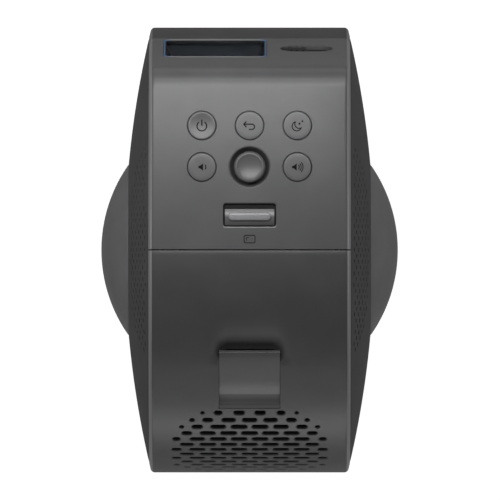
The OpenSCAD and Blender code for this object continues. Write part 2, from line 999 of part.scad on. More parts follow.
module slider_knob() color("#2a2b2d") at_axis() on_face(slider_x + slider_travel / 2) {
  translate([0, 0, -pocket - 0.5 + run])
    linear_extrude(1.2)
      rounded(9.4, 10.4, 1.6);
  for (x = [-3, 0, 3])
    translate([x, 0, -pocket + run + 0.6])
      linear_extrude(0.7)
        stadium2(1.2, 8);
  translate([0, 0, -pocket - 0.5 - pocket_floor - 3.4])
    linear_extrude(pocket_floor + 4)
      stadium(4, 3);
}

module stadium2(w, h) rotate(90) stadium(h, w);

module slide_switch() color("#8d9094") at_axis() on_face(slider_x)
  translate([0, 0, -pocket - 0.5 - pocket_floor - seat - 5])
    difference() {
      linear_extrude(5)
        rounded(24, 9, 1.5);
      translate([0, 0, 1.2])
        linear_extrude(5)
          stadium(4.6 + slider_travel, 3.6);
    }

// Rear cover and port door

module rear_cover() color("#47484b") at_axis() difference() {
  union() {
    difference() {
      band_piece(90 + seam_deg, hinge_deg);
      on_rim(hinge_deg, hinge_r)
        rotate([0, 90, 0])
          cylinder(r = barrel_r + run, h = 4 * band_half, center = true);
    }
    // hinge barrel and the wall that runs into it
    across(2 * hinge_half) {
      translate(polar(hinge_r, hinge_deg))
        circle(barrel_r);
      intersection() {
        ring(body_r, body_r - wall);
        sector(hinge_deg - 8, hinge_deg);
      }
    }
    // catch for the latch tongue
    across(20)
      translate([-4.4, body_r - 8])
        square([3.6, 7]);
    // ears for the port door's pin
    both_edges(door_half + run + seat, door_half + 3.6)
      intersection() {
        ring(body_r - wall / 2, body_r - 5);
        sector(door_deg - 1.6, door_deg + 1.6);
      }
    // inside pad under the finger scoop
    across(30)
      intersection() {
        ring(body_r - wall / 2, body_r - wall - 1.8);
        sector(door_top - 9, door_top - 0.6);
      }
  }
  across(16)
    translate([-2.6, body_r - 6.2])
      square([3, 2.6]);
  // doorway and the scoop above it
  across(2 * (door_half + run))
    intersection() {
      ring(body_r + 4, body_r - 8);
      sector(door_top - 0.22, door_deg + 0.3);
    }
  on_rim(door_deg, door_axis_r)
    rotate([0, 90, 0])
      cylinder(r = door_clear, h = 2 * (door_half + run) + seat, center = true);
  on_rim(door_deg, door_axis_r)
    rotate([0, 90, 0])
      cylinder(r = door_pin_r, h = 2 * (door_half + 3.7), center = true);
  on_rim(door_top + 0.5, body_r + 27.6)
    rotate([0, 90, 0])
      cylinder(r = 30, h = 2 * door_half - 2, center = true);
  on_rim(hinge_deg, hinge_r)
    rotate([0, 90, 0])
      cylinder(r = pin_r + fit, h = 4 * band_half, center = true);
  grille();
}

module grille()
  for (i = [0:grille_rows - 1], k = [0:4]) {
    x = (k + (i % 2 == 0 ? 0.5 : 0)) * grille_pitch;
    half = grille_half(i);
    place = x > half - 3 ? x - 2.5 : x;
    size = slot_length(norm([place, grille_arc(i)]));
    if (place <= half)
      for (s = x == 0 ? [0] : [-1, 1])
        on_rim(grille_deg + i * grille_step, body_r)
          translate([s * place, 0, 0])
            linear_extrude(12, center = true)
              stadium(size, min(grille_h, size));
  }

module cover_hinge_pin() color("#c3c6ca") at_axis()
  on_rim(hinge_deg, hinge_r)
    rotate([0, 90, 0])
      cylinder(r = pin_r, h = 2 * hinge_half + 11.6, center = true);

module port_door() color("#58595c") at_axis() difference() {
  across(2 * door_half) {
    translate(polar(door_axis_r, door_deg))
      circle(door_barrel);
    polygon([
      polar(body_r - 0.1, door_top), polar(body_r - 0.5, door_top + 6),
      polar(body_r - 0.9, door_deg - 5), polar(body_r, door_deg - 0.3),
      polar(body_r - 2 * door_barrel + 0.3, door_deg),
      polar(body_r - 2.8, door_deg - 5), polar(body_r - 2.5, door_top + 6),
      polar(body_r - 2.1, door_top)
    ]);
  }
  on_rim(door_deg, door_axis_r)
    rotate([0, 90, 0])
      cylinder(r = door_pin_r + fit, h = 4 * band_half, center = true);
}

module door_hinge_pin() color("#c3c6ca") at_axis()
  on_rim(door_deg, door_axis_r)
    rotate([0, 90, 0])
      cylinder(r = door_pin_r, h = 2 * (door_half + 3.2), center = true);

// Cradle base

module saddle(r) at_axis() rotate([0, 90, 0]) cylinder(r = r, h = 2 * base_w, center = true, $fn = 180);

module cradle_base() color("#3c3d40") difference() {
  union() {
    difference() {
      translate([0, 0, foot_h - 0.4])
        linear_extrude(base_h - foot_h + 0.4)
          rounded(base_w, base_l, base_corner);
      difference() {
        linear_extrude(base_h - base_wall)
          rounded(base_w - 2 * base_wall, base_l - 2 * base_wall, base_corner - base_wall);
        saddle(saddle_r + base_wall);
      }
    }
    for (p = base_posts())
      translate([p[0], p[1], foot_h + plate_t])
        cylinder(r = 4, h = 12);
  }
  saddle(saddle_r);
  at_axis()
    both_edges(pad_in - seat, pad_out + seat)
      intersection() {
        ring(saddle_r + pad_sink, body_r - 5);
        sector(270 - pad_half - 0.1, 270 + pad_half + 0.1);
      }
  for (p = base_posts())
    translate([p[0], p[1], foot_h])
      cylinder(r = 1.25, h = 8);
}

function base_posts() = [for (x = [-33, 33], y = [-23, 23]) [x, y]];

module cradle_bottom_plate() color("#2d2e30") difference() {
  union() {
    translate([0, 0, foot_h])
      linear_extrude(plate_t)
        rounded(base_w - 2 * base_wall - 2 * seat, base_l - 2 * base_wall - 2 * seat, base_corner - base_wall - seat);
    translate([0, 0, foot_h])
      cylinder(r = 8.5, h = 7);
  }
  translate([0, 0, foot_h - 1])
    cylinder(r = 5, h = 10);
  for (p = base_posts())
    translate([p[0], p[1], 0]) {
      cylinder(r = 1.5, h = 10);
      cylinder(r = 2.9, h = foot_h + 1.4);
    }
  for (p = foot_places())
    translate([p[0], p[1], 0])
      cylinder(r = 7.1, h = foot_h + 1.2);
}

function foot_places() = [for (x = [-28, 28], y = [-47, 47]) [x, y]];

module cradle_pads() color("#1a1b1c") at_axis()
  both_edges(pad_in, pad_out)
    intersection() {
      ring(saddle_r + pad_sink, body_r + pad_gap);
      sector(270 - pad_half, 270 + pad_half);
    }

module base_feet() color("#1d1e1f")
  for (p = foot_places())
    translate([p[0], p[1], 0])
      cylinder(r = 7, h = foot_h + 1.2);

module base_magnets() color("#a7abb0") at_axis()
  for (x = [-magnet_x, magnet_x], b = [252, 288])
    translate([x, 0, 0])
      on_rim(b, saddle_r + base_wall + 0.15)
        cylinder(r = 5, h = 2.6);

module base_ballast() color("#55585c")
  for (s = [-1, 1])
    translate([0, s * 48, foot_h + plate_t])
      translate([-20, -9, 0])
        cube([40, 18, 11]);

module tripod_insert() color("#c8a54a")
  translate([0, 0, foot_h])
    difference() {
      cylinder(r = 5, h = 7);
      translate([0, 0, -1])
        cylinder(r = tripod_r, h = 9);
    }

module base_screws() color("#b9bcc0")
  for (p = base_posts())
    translate([p[0], p[1], foot_h - 0.2]) {
      cylinder(r = 2.7, h = 1.6);
      cylinder(r = 1.25, h = 7.6);
    }

cradle_base();
cradle_bottom_plate();
cradle_pads();
base_feet();
base_magnets();
base_ballast();
tripod_insert();
base_screws();
left_shell();
right_shell();
left_dome();
right_dome();
top_cover();
bottom_band();
chassis();
rear_wall();
rim_hoops();
shell_screws();
window_trim();
lens_window();
lens_hood();
lens_barrel();
lens_elements();
focus_motor();
optical_engine();
laser_module();
heat_sink();
heat_pipes();
fan_frame();
main_board();
port_plate();
av_ports();
dc_jack();
media_stick();
key_board();
key_switches();
joystick_housing();
battery_cells();
battery_tray();
speaker_drivers();
speaker_cones();
slide_switch();
cover_hinge_pin();
focus_ring();
focus_pinion();
phosphor_wheel();
fan_rotor();
power_key();
back_key();
sleep_key();
volume_down_key();
volume_up_key();
joystick_gimbal();
joystick_stem();
joystick_cap();
release_latch();
slider_knob();
rear_cover();
port_door();
door_hinge_pin();
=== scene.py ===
"""Looks of the portable video projector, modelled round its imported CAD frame.

Metres, in the frame's own axes: Z up, the lens toward -Y. A place on the round body is given by its
angle round the body axis: 0 is the front, 90 the top, 180 the rear and 270 the bottom.
"""

import math

import bmesh
import bpy
from mathutils import Matrix, Vector


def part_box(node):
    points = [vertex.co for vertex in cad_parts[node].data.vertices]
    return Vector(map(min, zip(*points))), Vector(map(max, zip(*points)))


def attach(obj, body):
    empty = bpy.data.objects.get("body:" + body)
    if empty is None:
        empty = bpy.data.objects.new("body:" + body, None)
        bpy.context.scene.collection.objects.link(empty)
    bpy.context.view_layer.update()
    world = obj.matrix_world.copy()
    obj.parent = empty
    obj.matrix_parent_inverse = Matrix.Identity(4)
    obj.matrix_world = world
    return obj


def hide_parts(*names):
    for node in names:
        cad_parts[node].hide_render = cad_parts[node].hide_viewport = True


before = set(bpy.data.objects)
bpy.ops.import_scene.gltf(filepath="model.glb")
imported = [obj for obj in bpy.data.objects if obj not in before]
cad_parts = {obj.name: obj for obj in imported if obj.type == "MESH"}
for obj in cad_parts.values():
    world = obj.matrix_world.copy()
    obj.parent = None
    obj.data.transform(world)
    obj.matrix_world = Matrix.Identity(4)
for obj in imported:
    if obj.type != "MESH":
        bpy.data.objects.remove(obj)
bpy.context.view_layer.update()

# Sizes. Corners closer than a hair are one; cutters stand proud of a surface and reach through it.

MM = 0.001
hair = 0.001 * MM
proud = 2 * MM
through = -12 * MM
axis_height = (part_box("left_dome")[0][2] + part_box("left_dome")[1][2]) / 2
body_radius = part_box("rear_cover")[1][1]
panel_height = axis_height + body_radius
band_half = 47.2 * MM
shell_half = 60 * MM
rim_radius = 102 * MM
seam = 0.4 * MM
seam_angle = math.degrees(seam / 2 / body_radius)
end_ease = 0.3 * MM
wall = 2.5 * MM
edge_round = 2.1 * MM
edge_steps = 8
# Where the painted highlight along the band's rounded side edges begins.
painted_edge_highlight_start = band_half - 0.75 * MM
lens_lean = 12
crease_angle = 18.5
brow_radius = 11 * MM
window_size = (49 * MM, 41.5 * MM)
window_across = 16.5 * MM
window_rise = 23.5 * MM
slider_size = (25 * MM, 15 * MM)
slider_across = -27.2 * MM
slider_travel = 9.2 * MM
slider_depth = 2.4 * MM
slider_way = (4.6 * MM + slider_travel, 3.6 * MM)
slider_way_corner = 1.79 * MM
key_hole = 7.1 * MM
key_radius = 6.75 * MM
key_across = 22.75 * MM
key_front = 59.25 * MM
key_rear = 39.5 * MM
latch_size = (25.3 * MM, 11.2 * MM)
latch_forward = 16.65 * MM
latch_depth = 1.9 * MM
latch_rest = 15.35 * MM
latch_way = (8.6 * MM, 5.9 * MM)
latch_way_forward = latch_rest + 1.15 * MM
latch_way_corner = 0.8 * MM
stick_recess = 10 * MM
stick_depth = 6.2 * MM
cup_top = -1.2 * MM
hinge_angle = 200
hinge_barrel = 4.2 * MM
hinge_half = 34 * MM
hinge_clear = 5.28 * MM
hinge_radius = body_radius - hinge_barrel
lug_radius = hinge_barrel - 0.1 * MM
lug_half = 2.8 * MM
lug_across = 37.2 * MM
nose_half = 4 * MM
nose_across = 47.5 * MM
door_half = 14.5 * MM
door_top = 116.8
door_angle = 134.1
door_barrel = 1.6 * MM
door_clear = 2.56 * MM
dip_depth = 4.4 * MM
dip_flat = 10.5 * MM
dip_half = 19 * MM
grille_first = 136.7
grille_step = 2.77
grille_rows = 14
grille_middle = 155
grille_pitch = 10 * MM
grille_slot = 8.1 * MM
grille_height = 3.3 * MM
grille_radius = 42.6 * MM
grille_even = 21.7 * MM
grille_fade = 20.2 * MM
grille_loss = 6.8 * MM
vent_radius = 1.2 * MM
vent_pitch = 5.6 * MM
dome_radius = 41.2 * MM
dome_half = 71.3 * MM
base_size = (90 * MM, 128 * MM)
base_height = 33 * MM
base_corner = 22 * MM
base_lift = 1 * MM
groove_low = 5 * MM
groove_gap = 1 * MM
groove_depth = 1.6 * MM
saddle_radius = body_radius + 2 * MM
pad_across = 39 * MM
pad_half = 3.1 * MM

# Places


def polar(radius, angle):
    """Forward and up of a place round the body axis."""
    return Vector((radius * math.cos(math.radians(angle)), radius * math.sin(math.radians(angle))))


def ahead(forward, up, across=0.0):
    """A point from its distance forward of and above the body axis."""
    return Vector((across, -forward, axis_height + up))


def around(angle, radius, across=0.0):
    return ahead(*polar(radius, angle), across)


def bearing(spot):
    """Angle round the body axis of a place forward and up."""
    return math.degrees(math.atan2(spot[1], spot[0]))


crown_rise = shell_half - band_half
crown_ball = (body_radius ** 2 + crown_rise ** 2) / (2 * crown_rise)


def crown(radius, inset=0.0):
    """Half of the width of the crowned sides at a radius."""
    return shell_half - crown_ball + math.sqrt((crown_ball - inset) ** 2 - radius ** 2)


face_out = polar(1, lens_lean)
face_up = polar(1, lens_lean + 90)
crease = polar(body_radius, crease_angle)
face_reach = crease.dot(face_out)
brow_up = body_radius - brow_radius
brow_centre = Vector(((face_reach - brow_radius - brow_up * face_out[1]) / face_out[0], brow_up))
brow_first = bearing(brow_centre + brow_radius * face_out)
brow_last = bearing(brow_centre + Vector((0, brow_radius)))
face_middle = crease + window_rise * face_up


def facing(point, angle):
    """A place at a point, with its Z outward at an angle round the body axis."""
    return Matrix.Translation(point) @ Matrix.Rotation(math.radians(90 - angle), 4, "X")


def on_rim(angle, across):
    """A place on the round outline: Z outward, Y toward the larger angle."""
    return facing(around(angle, body_radius, across), angle)


def on_face(across, out=0.0):
    """A place on the lens face: Z outward, Y up the face."""
    return facing(ahead(*(face_middle + out * face_out), across), lens_lean)


def on_panel(across, forward, up=0.0):
    """A place on the control panel: Z up, X and Y as they read from above with the front at the top."""
    return Matrix.Translation((across, -forward, panel_height + up)) @ Matrix.Rotation(math.pi, 4, "Z")


# Modelling by hand


def begin():
    """Leaves edit mode and drops the selection, so that the next operator acts on the new piece alone."""
    if bpy.context.object and bpy.context.object.mode == "EDIT":
        bpy.ops.object.mode_set(mode="OBJECT")
    bpy.ops.object.select_all(action="DESELECT")


def hold(piece):
    begin()
    piece.select_set(True)
    bpy.context.view_layer.objects.active = piece
    return piece


def round_edges(test, breadth, steps):
    """Rounds in edit mode the edges whose two ends pass a test."""
    bpy.ops.mesh.select_mode(type="EDGE")
    bpy.ops.mesh.select_all(action="DESELECT")
    mesh = bmesh.from_edit_mesh(bpy.context.object.data)
    for edge in [e for e in mesh.edges if all(test(end.co) for end in e.verts)]:
        edge.select_set(True)
    mesh.select_flush_mode()
    bmesh.update_edit_mesh(bpy.context.object.data)
    bpy.ops.mesh.bevel(offset=breadth, segments=steps, profile=0.5, affect="EDGES")


def neaten():
    """Merges doubles and turns every face outward."""
    bpy.ops.mesh.select_mode(type="VERT")
    bpy.ops.mesh.select_all(action="SELECT")
    bpy.ops.mesh.remove_doubles(threshold=hair)
    bpy.ops.mesh.normals_make_consistent(inside=False)


def trace(corners, fill=True):
    """Draws a run of corners one after the other and, for an outline, fills it with a face."""
    begin()
    corners = [Vector(c).to_3d() for c in corners]
    bpy.ops.mesh.primitive_plane_add(size=MM)
    bpy.ops.object.mode_set(mode="EDIT")
    bpy.ops.mesh.select_mode(type="VERT")
    bpy.ops.mesh.select_all(action="SELECT")
    bpy.ops.mesh.merge(type="CENTER")
    bpy.ops.transform.translate(value=corners[0])
    for start, end in zip(corners, corners[1:]):
        bpy.ops.mesh.extrude_vertices_move(TRANSFORM_OT_translate={"value": end - start})
    bpy.ops.mesh.select_all(action="SELECT")
    if fill:
        bpy.ops.mesh.edge_face_add()
    return bpy.context.object


def pull(offset):
    bpy.ops.mesh.extrude_region_move(TRANSFORM_OT_translate={"value": offset})


def extruded(corners, offset):
    """An outline pulled into a closed solid."""
    piece = trace(corners)
    pull(offset)
    neaten()
    begin()
    return piece


def slab(corners, bottom, top, soften=0.0, steps=3):
    """An outline in X and Y pulled up from bottom to top, with its top edge softened."""
    piece = trace([(c[0], c[1], bottom) for c in corners])
    pull((0, 0, top - bottom))
    neaten()
    if soften:
        round_edges(lambda p: abs(p.z - top) < hair, soften, steps)
    begin()
    return piece


def plug(corners, bottom, lip, fall=1.0):
    """A cutter with the outline of an opening, flared at the surface to give it a fine chamfer.

    fall is the depth of that chamfer as a share of its breadth. The flare runs on past the surface: a ring
    of the cutter that lies in the surface itself makes the cut fail now and then.
    """
    spread = [max(abs(c[i]) for c in corners) for i in (0, 1)]
    flare = [(reach + 2 * lip) / reach for reach in spread]
    piece = trace([(c[0], c[1], bottom) for c in corners])
    pull((0, 0, -lip * fall - bottom))
    pull((0, 0, 2 * lip * fall))
    bpy.ops.transform.resize(value=(*flare, 1))
    pull((0, 0, proud))
    neaten()
    begin()
    return piece


def turned(profile, steps=64):
    """A profile of radius and height spun round Z into a closed solid."""
    piece = trace([(r, 0, z) for r, z in profile], fill=False)
    bpy.ops.mesh.spin(steps=steps, angle=2 * math.pi, center=(0, 0, 0), axis=(0, 0, 1))
    neaten()
    begin()
    return piece


def spin_round_body(steps, angle):
    """Sweeps the outline in hand round the body axis."""
    centre = (0, 0, axis_height)
    bpy.ops.mesh.spin(steps=steps, angle=math.radians(angle), center=centre, axis=(1, 0, 0))
    neaten()


def placed(piece, place):
    """Sets a piece made at the origin into its place and leaves its object at the origin."""
    piece.matrix_world = place
    hold(piece)
    bpy.ops.object.transform_apply(location=True, rotation=True, scale=True)
    return piece


def copied(piece, place=None):
    twin = piece.copy()
    twin.data = piece.data.copy()
    bpy.context.collection.objects.link(twin)
    return placed(twin, place) if place else twin


def mirrored(piece):
    """A copy of a piece on the other side of the middle plane."""
    twin = placed(copied(piece), Matrix.Scale(-1, 4, (1, 0, 0)))
    bpy.ops.object.mode_set(mode="EDIT")
    neaten()
    begin()
    return twin


def joined(pieces):
    """Several pieces as one object."""
    hold(pieces[0])
    for piece in pieces:
        piece.select_set(True)
    bpy.ops.object.join()
    return pieces[0]


def combine(piece, other, way="DIFFERENCE"):
    """Cuts one solid with another, or grows the two together."""
    hold(piece)
    bpy.ops.object.modifier_add(type="BOOLEAN")
    tool = piece.modifiers[-1]
    tool.operation = way
    tool.object = other
    tool.solver = "EXACT"
    bpy.ops.object.modifier_apply(modifier=tool.name)
    bpy.data.objects.remove(other)
    return piece


def mend(piece):
    """Closes the hair cracks and drops the slivers that cutting leaves."""
    crack = 4 * hair
    hold(piece)
    bpy.ops.object.mode_set(mode="EDIT")
    bpy.ops.mesh.select_mode(type="VERT")
    bpy.ops.mesh.select_all(action="SELECT")
    bpy.ops.mesh.remove_doubles(threshold=crack)
    bpy.ops.mesh.dissolve_degenerate(threshold=crack)
    bpy.ops.mesh.select_all(action="SELECT")
    bpy.ops.mesh.fill_holes(sides=4)
    bpy.ops.mesh.select_all(action="SELECT")
    bpy.ops.mesh.normals_make_consistent(inside=False)
    begin()


def arc(centre, radius, first, last, steps):
    """Points of an arc, as pairs."""
    turn = [math.radians(first + (last - first) * i / steps) for i in range(steps + 1)]
    return [(centre[0] + radius * math.cos(t), centre[1] + radius * math.sin(t)) for t in turn]


def rounded(width, height, corner, steps=6):
    """Outline of a rectangle with round corners, about the origin."""
    x, y = width / 2 - corner, height / 2 - corner
    points = []
    for k, (sx, sy) in enumerate([(1, 1), (-1, 1), (-1, -1), (1, -1)]):
        points += arc((sx * x, sy * y), corner, 90 * k, 90 * k + 90, steps)
    return [p for i, p in enumerate(points) if math.dist(p, points[i - 1]) > hair]


def finished(piece, name, body, material, replaces=(), smooth=30):
    """Names a piece, smooths it, paints it and sets it on the body that it moves with."""
    hold(piece)
    piece.name = name
    piece.data.name = name
    bpy.ops.object.shade_smooth_by_angle(angle=math.radians(smooth))
    piece.data.materials.clear()
    piece.data.materials.append(material)
    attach(piece, body)
    if replaces:
        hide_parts(*replaces)
    begin()
    return piece


# Finishes


def finish(name, shade, rough, metal=0.0, grain=0.35, depth=0.08, mottle=0.08, stretch=(1, 1, 1),
           specular=0.5):
    """A surface with fine moulded or drawn grain, and slight changes of shade and gloss over its area."""
    material = bpy.data.materials.new(name)
    material.use_nodes = True
    nodes, links = material.node_tree.nodes, material.node_tree.links
    surface = nodes["Principled BSDF"]
    surface.inputs["Metallic"].default_value = metal
    surface.inputs["Specular IOR Level"].default_value = specular
    where = nodes.new("ShaderNodeTexCoord")
    lay = nodes.new("ShaderNodeMapping")
    lay.inputs["Scale"].default_value = stretch
    links.new(where.outputs["Object"], lay.inputs["Vector"])
    fine = nodes.new("ShaderNodeTexNoise")
    fine.inputs["Scale"].default_value = 1 / (grain * MM)
    fine.inputs["Detail"].default_value = 2.0
    links.new(lay.outputs["Vector"], fine.inputs["Vector"])
    broad = nodes.new("ShaderNodeTexNoise")
    broad.inputs["Scale"].default_value = 55
    broad.inputs["Detail"].default_value = 4.0
    links.new(lay.outputs["Vector"], broad.inputs["Vector"])
    tone = nodes.new("ShaderNodeValToRGB")
    tone.color_ramp.elements[0].position = 0.3
    tone.color_ramp.elements[1].position = 0.7
    tone.color_ramp.elements[0].color = [c * (1 - mottle) for c in shade] + [1]
    tone.color_ramp.elements[1].color = [c * (1 + mottle) for c in shade] + [1]
    links.new(broad.outputs["Fac"], tone.inputs["Fac"])
    links.new(tone.outputs["Color"], surface.inputs["Base Color"])
    gloss = nodes.new("ShaderNodeMapRange")
    gloss.inputs["To Min"].default_value = max(0.02, rough - 0.06)
    gloss.inputs["To Max"].default_value = min(1.0, rough + 0.06)
    links.new(fine.outputs["Fac"], gloss.inputs["Value"])
    links.new(gloss.outputs["Result"], surface.inputs["Roughness"])
    bump = nodes.new("ShaderNodeBump")
    bump.inputs["Strength"].default_value = depth
    bump.inputs["Distance"].default_value = grain * MM * 0.4
    links.new(fine.outputs["Fac"], bump.inputs["Height"])
    links.new(bump.outputs["Normal"], surface.inputs["Normal"])
    return material


def grey(value, tint=1.03):
    return (value, value, value * tint)


panel_plastic = finish("panel_plastic", grey(0.075), 0.36, depth=0.10, specular=0.50)
rear_plastic = finish("rear_cover_plastic", grey(0.060), 0.37, depth=0.10, specular=0.36)
flap_plastic = finish("port_flap_plastic", grey(0.070), 0.34, depth=0.08, specular=0.50)
band_plastic = finish("bottom_band_plastic", grey(0.070), 0.50, depth=0.10, specular=0.16)
shell_plastic = finish("shell_plastic", grey(0.075), 0.55, depth=0.12, specular=0.10)
dome_plastic = finish("dome_plastic", grey(0.185), 0.48, depth=0.06, specular=0.16)
base_plastic = finish("base_plastic", grey(0.070), 0.50, depth=0.12, specular=0.30)
key_plastic = finish("key_plastic", grey(0.078), 0.36, depth=0.05, specular=0.50)
latch_plastic = finish("latch_plastic", grey(0.09), 0.32, depth=0.05, specular=0.60)
bar_plastic = finish("latch_bar_plastic", grey(0.22), 0.28, depth=0.04, specular=0.70)
# The slide knob's own black, also laid as painted shade on the floors of the latch and slider wells.
knob_black_and_painted_shade = finish("knob_black_and_painted_shade", grey(0.010), 0.45, depth=0.08, specular=0.15)
icon_ink = finish("icon_ink", grey(0.006), 0.7, depth=0.03, specular=0.06)
hood_black = finish("hood_black", grey(0.024), 0.35, depth=0.05, specular=0.20)
inner_black = finish("inner_black", grey(0.018), 0.6, depth=0.12)
gloss_black = finish("gloss_black", grey(0.006), 0.16, depth=0.02)
# The window trim's light grey is a painted highlight of the window's edges.
trim_painted_highlight = finish("trim_painted_highlight", grey(0.20), 0.35, depth=0.03, specular=0.25)
soft_rubber = finish("soft_rubber", grey(0.02), 0.8, grain=0.6, depth=0.2)
brushed_steel = finish("brushed_steel", grey(0.48), 0.36, metal=1.0, stretch=(0.05, 1, 1), depth=0.12)
bright_plate = finish("bright_plate", grey(0.62), 0.2, metal=1.0, depth=0.03)
cast_iron = finish("cast_iron", grey(0.09), 0.7, metal=0.7, grain=1.2, depth=0.4)
turned_brass = finish("turned_brass", (0.58, 0.42, 0.17), 0.28, metal=1.0, depth=0.05)
drawn_copper = finish("drawn_copper", (0.60, 0.27, 0.14), 0.3, metal=1.0, stretch=(1, 0.1, 0.1), depth=0.08)
milled_aluminium = finish("milled_aluminium", grey(0.52), 0.4, metal=1.0, stretch=(1, 0.1, 1), depth=0.15)
board_green = finish("board_green", (0.012, 0.085, 0.035), 0.38, grain=1.6, depth=0.1, mottle=0.3)
cell_wrap = finish("cell_wrap", (0.03, 0.12, 0.32), 0.3, grain=0.8, depth=0.04)
phosphor_coat = finish("phosphor_coat", (0.68, 0.5, 0.06), 0.6, grain=0.5, depth=0.15)


def clear_glass(name, tint, rough):
    """Glass coated against reflections, with faint changes of gloss over its area."""
    material = finish(name, tint, rough, depth=0.0, mottle=0.02, grain=6)
    surface = material.node_tree.nodes["Principled BSDF"]
    surface.inputs["Transmission Weight"].default_value = 1.0
    surface.inputs["IOR"].default_value = 1.012
    return material


window_glass = clear_glass("window_glass", (0.55, 0.60, 0.66), 0.05)


def tinted_ends(material, middle, first, last, shade):
    """Lets a surface turn to another shade from one distance to another on both sides of its middle, to
    paint a highlight or a reflection.
    """
    nodes, links = material.node_tree.nodes, material.node_tree.links
    part = nodes.new("ShaderNodeSeparateXYZ")
    links.new(nodes["Texture Coordinate"].outputs["Object"], part.inputs[0])
    off = nodes.new("ShaderNodeMath")
    off.operation = "SUBTRACT"
    links.new(part.outputs["X"], off.inputs[0])
    off.inputs[1].default_value = middle
    away = nodes.new("ShaderNodeMath")
    away.operation = "ABSOLUTE"
    links.new(off.outputs[0], away.inputs[0])
    share = nodes.new("ShaderNodeMapRange")
    share.inputs["From Min"].default_value = first
    share.inputs["From Max"].default_value = last
    links.new(away.outputs[0], share.inputs["Value"])
    paint = nodes["Principled BSDF"].inputs["Base Color"]
    blend = nodes.new("ShaderNodeMix")
    blend.data_type = "RGBA"
    links.new(share.outputs["Result"], blend.inputs[0])
    links.new(paint.links[0].from_socket, blend.inputs[6])
    blend.inputs[7].default_value = (*shade, 1)
    links.new(blend.outputs[2], paint)


# Painted reflection: the window trim turns blue toward its left and right ends.
window_end = window_size[0] / 2
tinted_ends(trim_painted_highlight, window_across, window_end - 3 * MM, window_end - 0.3 * MM, (0.06, 0.22, 0.50))
# Painted highlight: the control cover, the rear cover and the bottom band turn light grey along their
# rounded side edges, where the edge fillet catches the light.
for material in (panel_plastic, rear_plastic, band_plastic):
    tinted_ends(material, 0, painted_edge_highlight_start, painted_edge_highlight_start + 0.35 * MM, grey(0.24))

# Covers of the body


def band_section(outer, slant=1.0, trim=0.0, ribs=()):
    """Corners of a cut through the band as (radius, across): a bowed strip with rounded, turned-in edges.

    ribs are more corners across its two faces, for a length that is shaped further.
    """
    low = rim_radius + seam
    inside = outer - wall * slant
    tilt = math.atan2(crown(low) - band_half, outer - low)
    bend = edge_round * slant
    centre = (outer - bend, band_half - edge_round * (1 - math.sin(tilt)) / math.cos(tilt))
    foot = 0.35 * MM
    half = [(inside, band_half - wall), (low, band_half - wall), (low, crown(low) - foot)]
    half.append((low + foot, crown(low) - 0.08 * MM))
    swing = math.pi / 2 - tilt
    for i in range(edge_steps + 1):
        t = swing * (1 - i / edge_steps)
        half.append((centre[0] + bend * math.cos(t), centre[1] + edge_round * math.sin(t)))
    if trim:
        share = [max(0.0, (r - low) / (outer - low)) for r, x in half]
        edge = band_half - 1 * MM
        half = [(r - trim * s, x - trim * (x > edge)) for s, (r, x) in zip(share, half)]
    skin = [(outer, x) for x in reversed(ribs)]
    return half + skin + [(r, -x) for r, x in reversed(half)] + [(inside, x) for x in ribs]


def at_band_end(angle):
    """A test for the outer corners of a band's end at an angle."""
    ray = around(angle, 1) - ahead(0, 0)

    def test(p):
        flat = Vector((0, p.y, p.z - axis_height))
        outer = flat.length > body_radius - 1.2 * MM
        return outer and flat.cross(ray).length < 10 * hair and flat.dot(ray) > 0

    return test


def spun_band(first, last, ribs=()):
    """A length of the round band, spun round the body axis, with its two ends eased."""
    piece = trace([around(first, r, x) for r, x in band_section(body_radius, ribs=ribs)])
    spin_round_body(round((last - first) / 1.25), last - first)
    for angle in (first, last):
        round_edges(at_band_end(angle), end_ease, 2)
    begin()
    return piece


def outline_reach(angle):
    """Distance of the lens face, brow or panel from the axis at an angle, and the angle it faces."""
    if angle < brow_first:
        return face_reach / math.cos(math.radians(angle - lens_lean)), lens_lean
    if angle > brow_last:
        return body_radius / math.sin(math.radians(angle)), 90
    ray = polar(1, angle)
    near = brow_centre.dot(ray)
    reach = near + math.sqrt(near ** 2 - brow_centre.length_squared + brow_radius ** 2)
    return reach, bearing(reach * ray - brow_centre)


def control_cover():
    """The lens face, brow and control panel, lofted through cuts because its section changes on the way."""
    first, last = crease_angle + seam_angle, 90 - seam_angle
    eased = math.degrees(end_ease / body_radius)
    angles = [first, first + eased] + [first + (brow_first - first) * i / 16 for i in range(1, 17)]
    for i in range(1, 17):
        bend = polar(1, lens_lean + (90 - lens_lean) * i / 16)
        angles.append(bearing(brow_centre + brow_radius * bend))
    angles += [brow_last + (last - brow_last) * i / 24 for i in range(1, 24)] + [last - eased, last]
    loft = bmesh.new()
    cuts = []
    for k, angle in enumerate(angles):
        reach, normal = outline_reach(angle)
        slant = 1 / math.cos(math.radians(normal - angle))
        trim = end_ease if k in (0, len(angles) - 1) else 0.0
        cuts.append([loft.verts.new(around(angle, r, x)) for r, x in band_section(reach, slant, trim)])
    for here, there in zip(cuts, cuts[1:]):
        for i in range(len(here)):
            j = (i + 1) % len(here)
            loft.faces.new((here[i], here[j], there[j], there[i]))
    loft.faces.new(reversed(cuts[0]))
    loft.faces.new(cuts[-1])
    bmesh.ops.recalc_face_normals(loft, faces=loft.faces)
    shape = bpy.data.meshes.new("top_cover")
    loft.to_mesh(shape)
    loft.free()
    piece = bpy.data.objects.new("top_cover", shape)
    bpy.context.collection.objects.link(piece)
    return piece


def cup(size, corner, bottom):
    """A block inside the cover that a well is sunk into."""
    return slab(rounded(size[0] + 4 * MM, size[1] + 4 * MM, corner), bottom, cup_top)


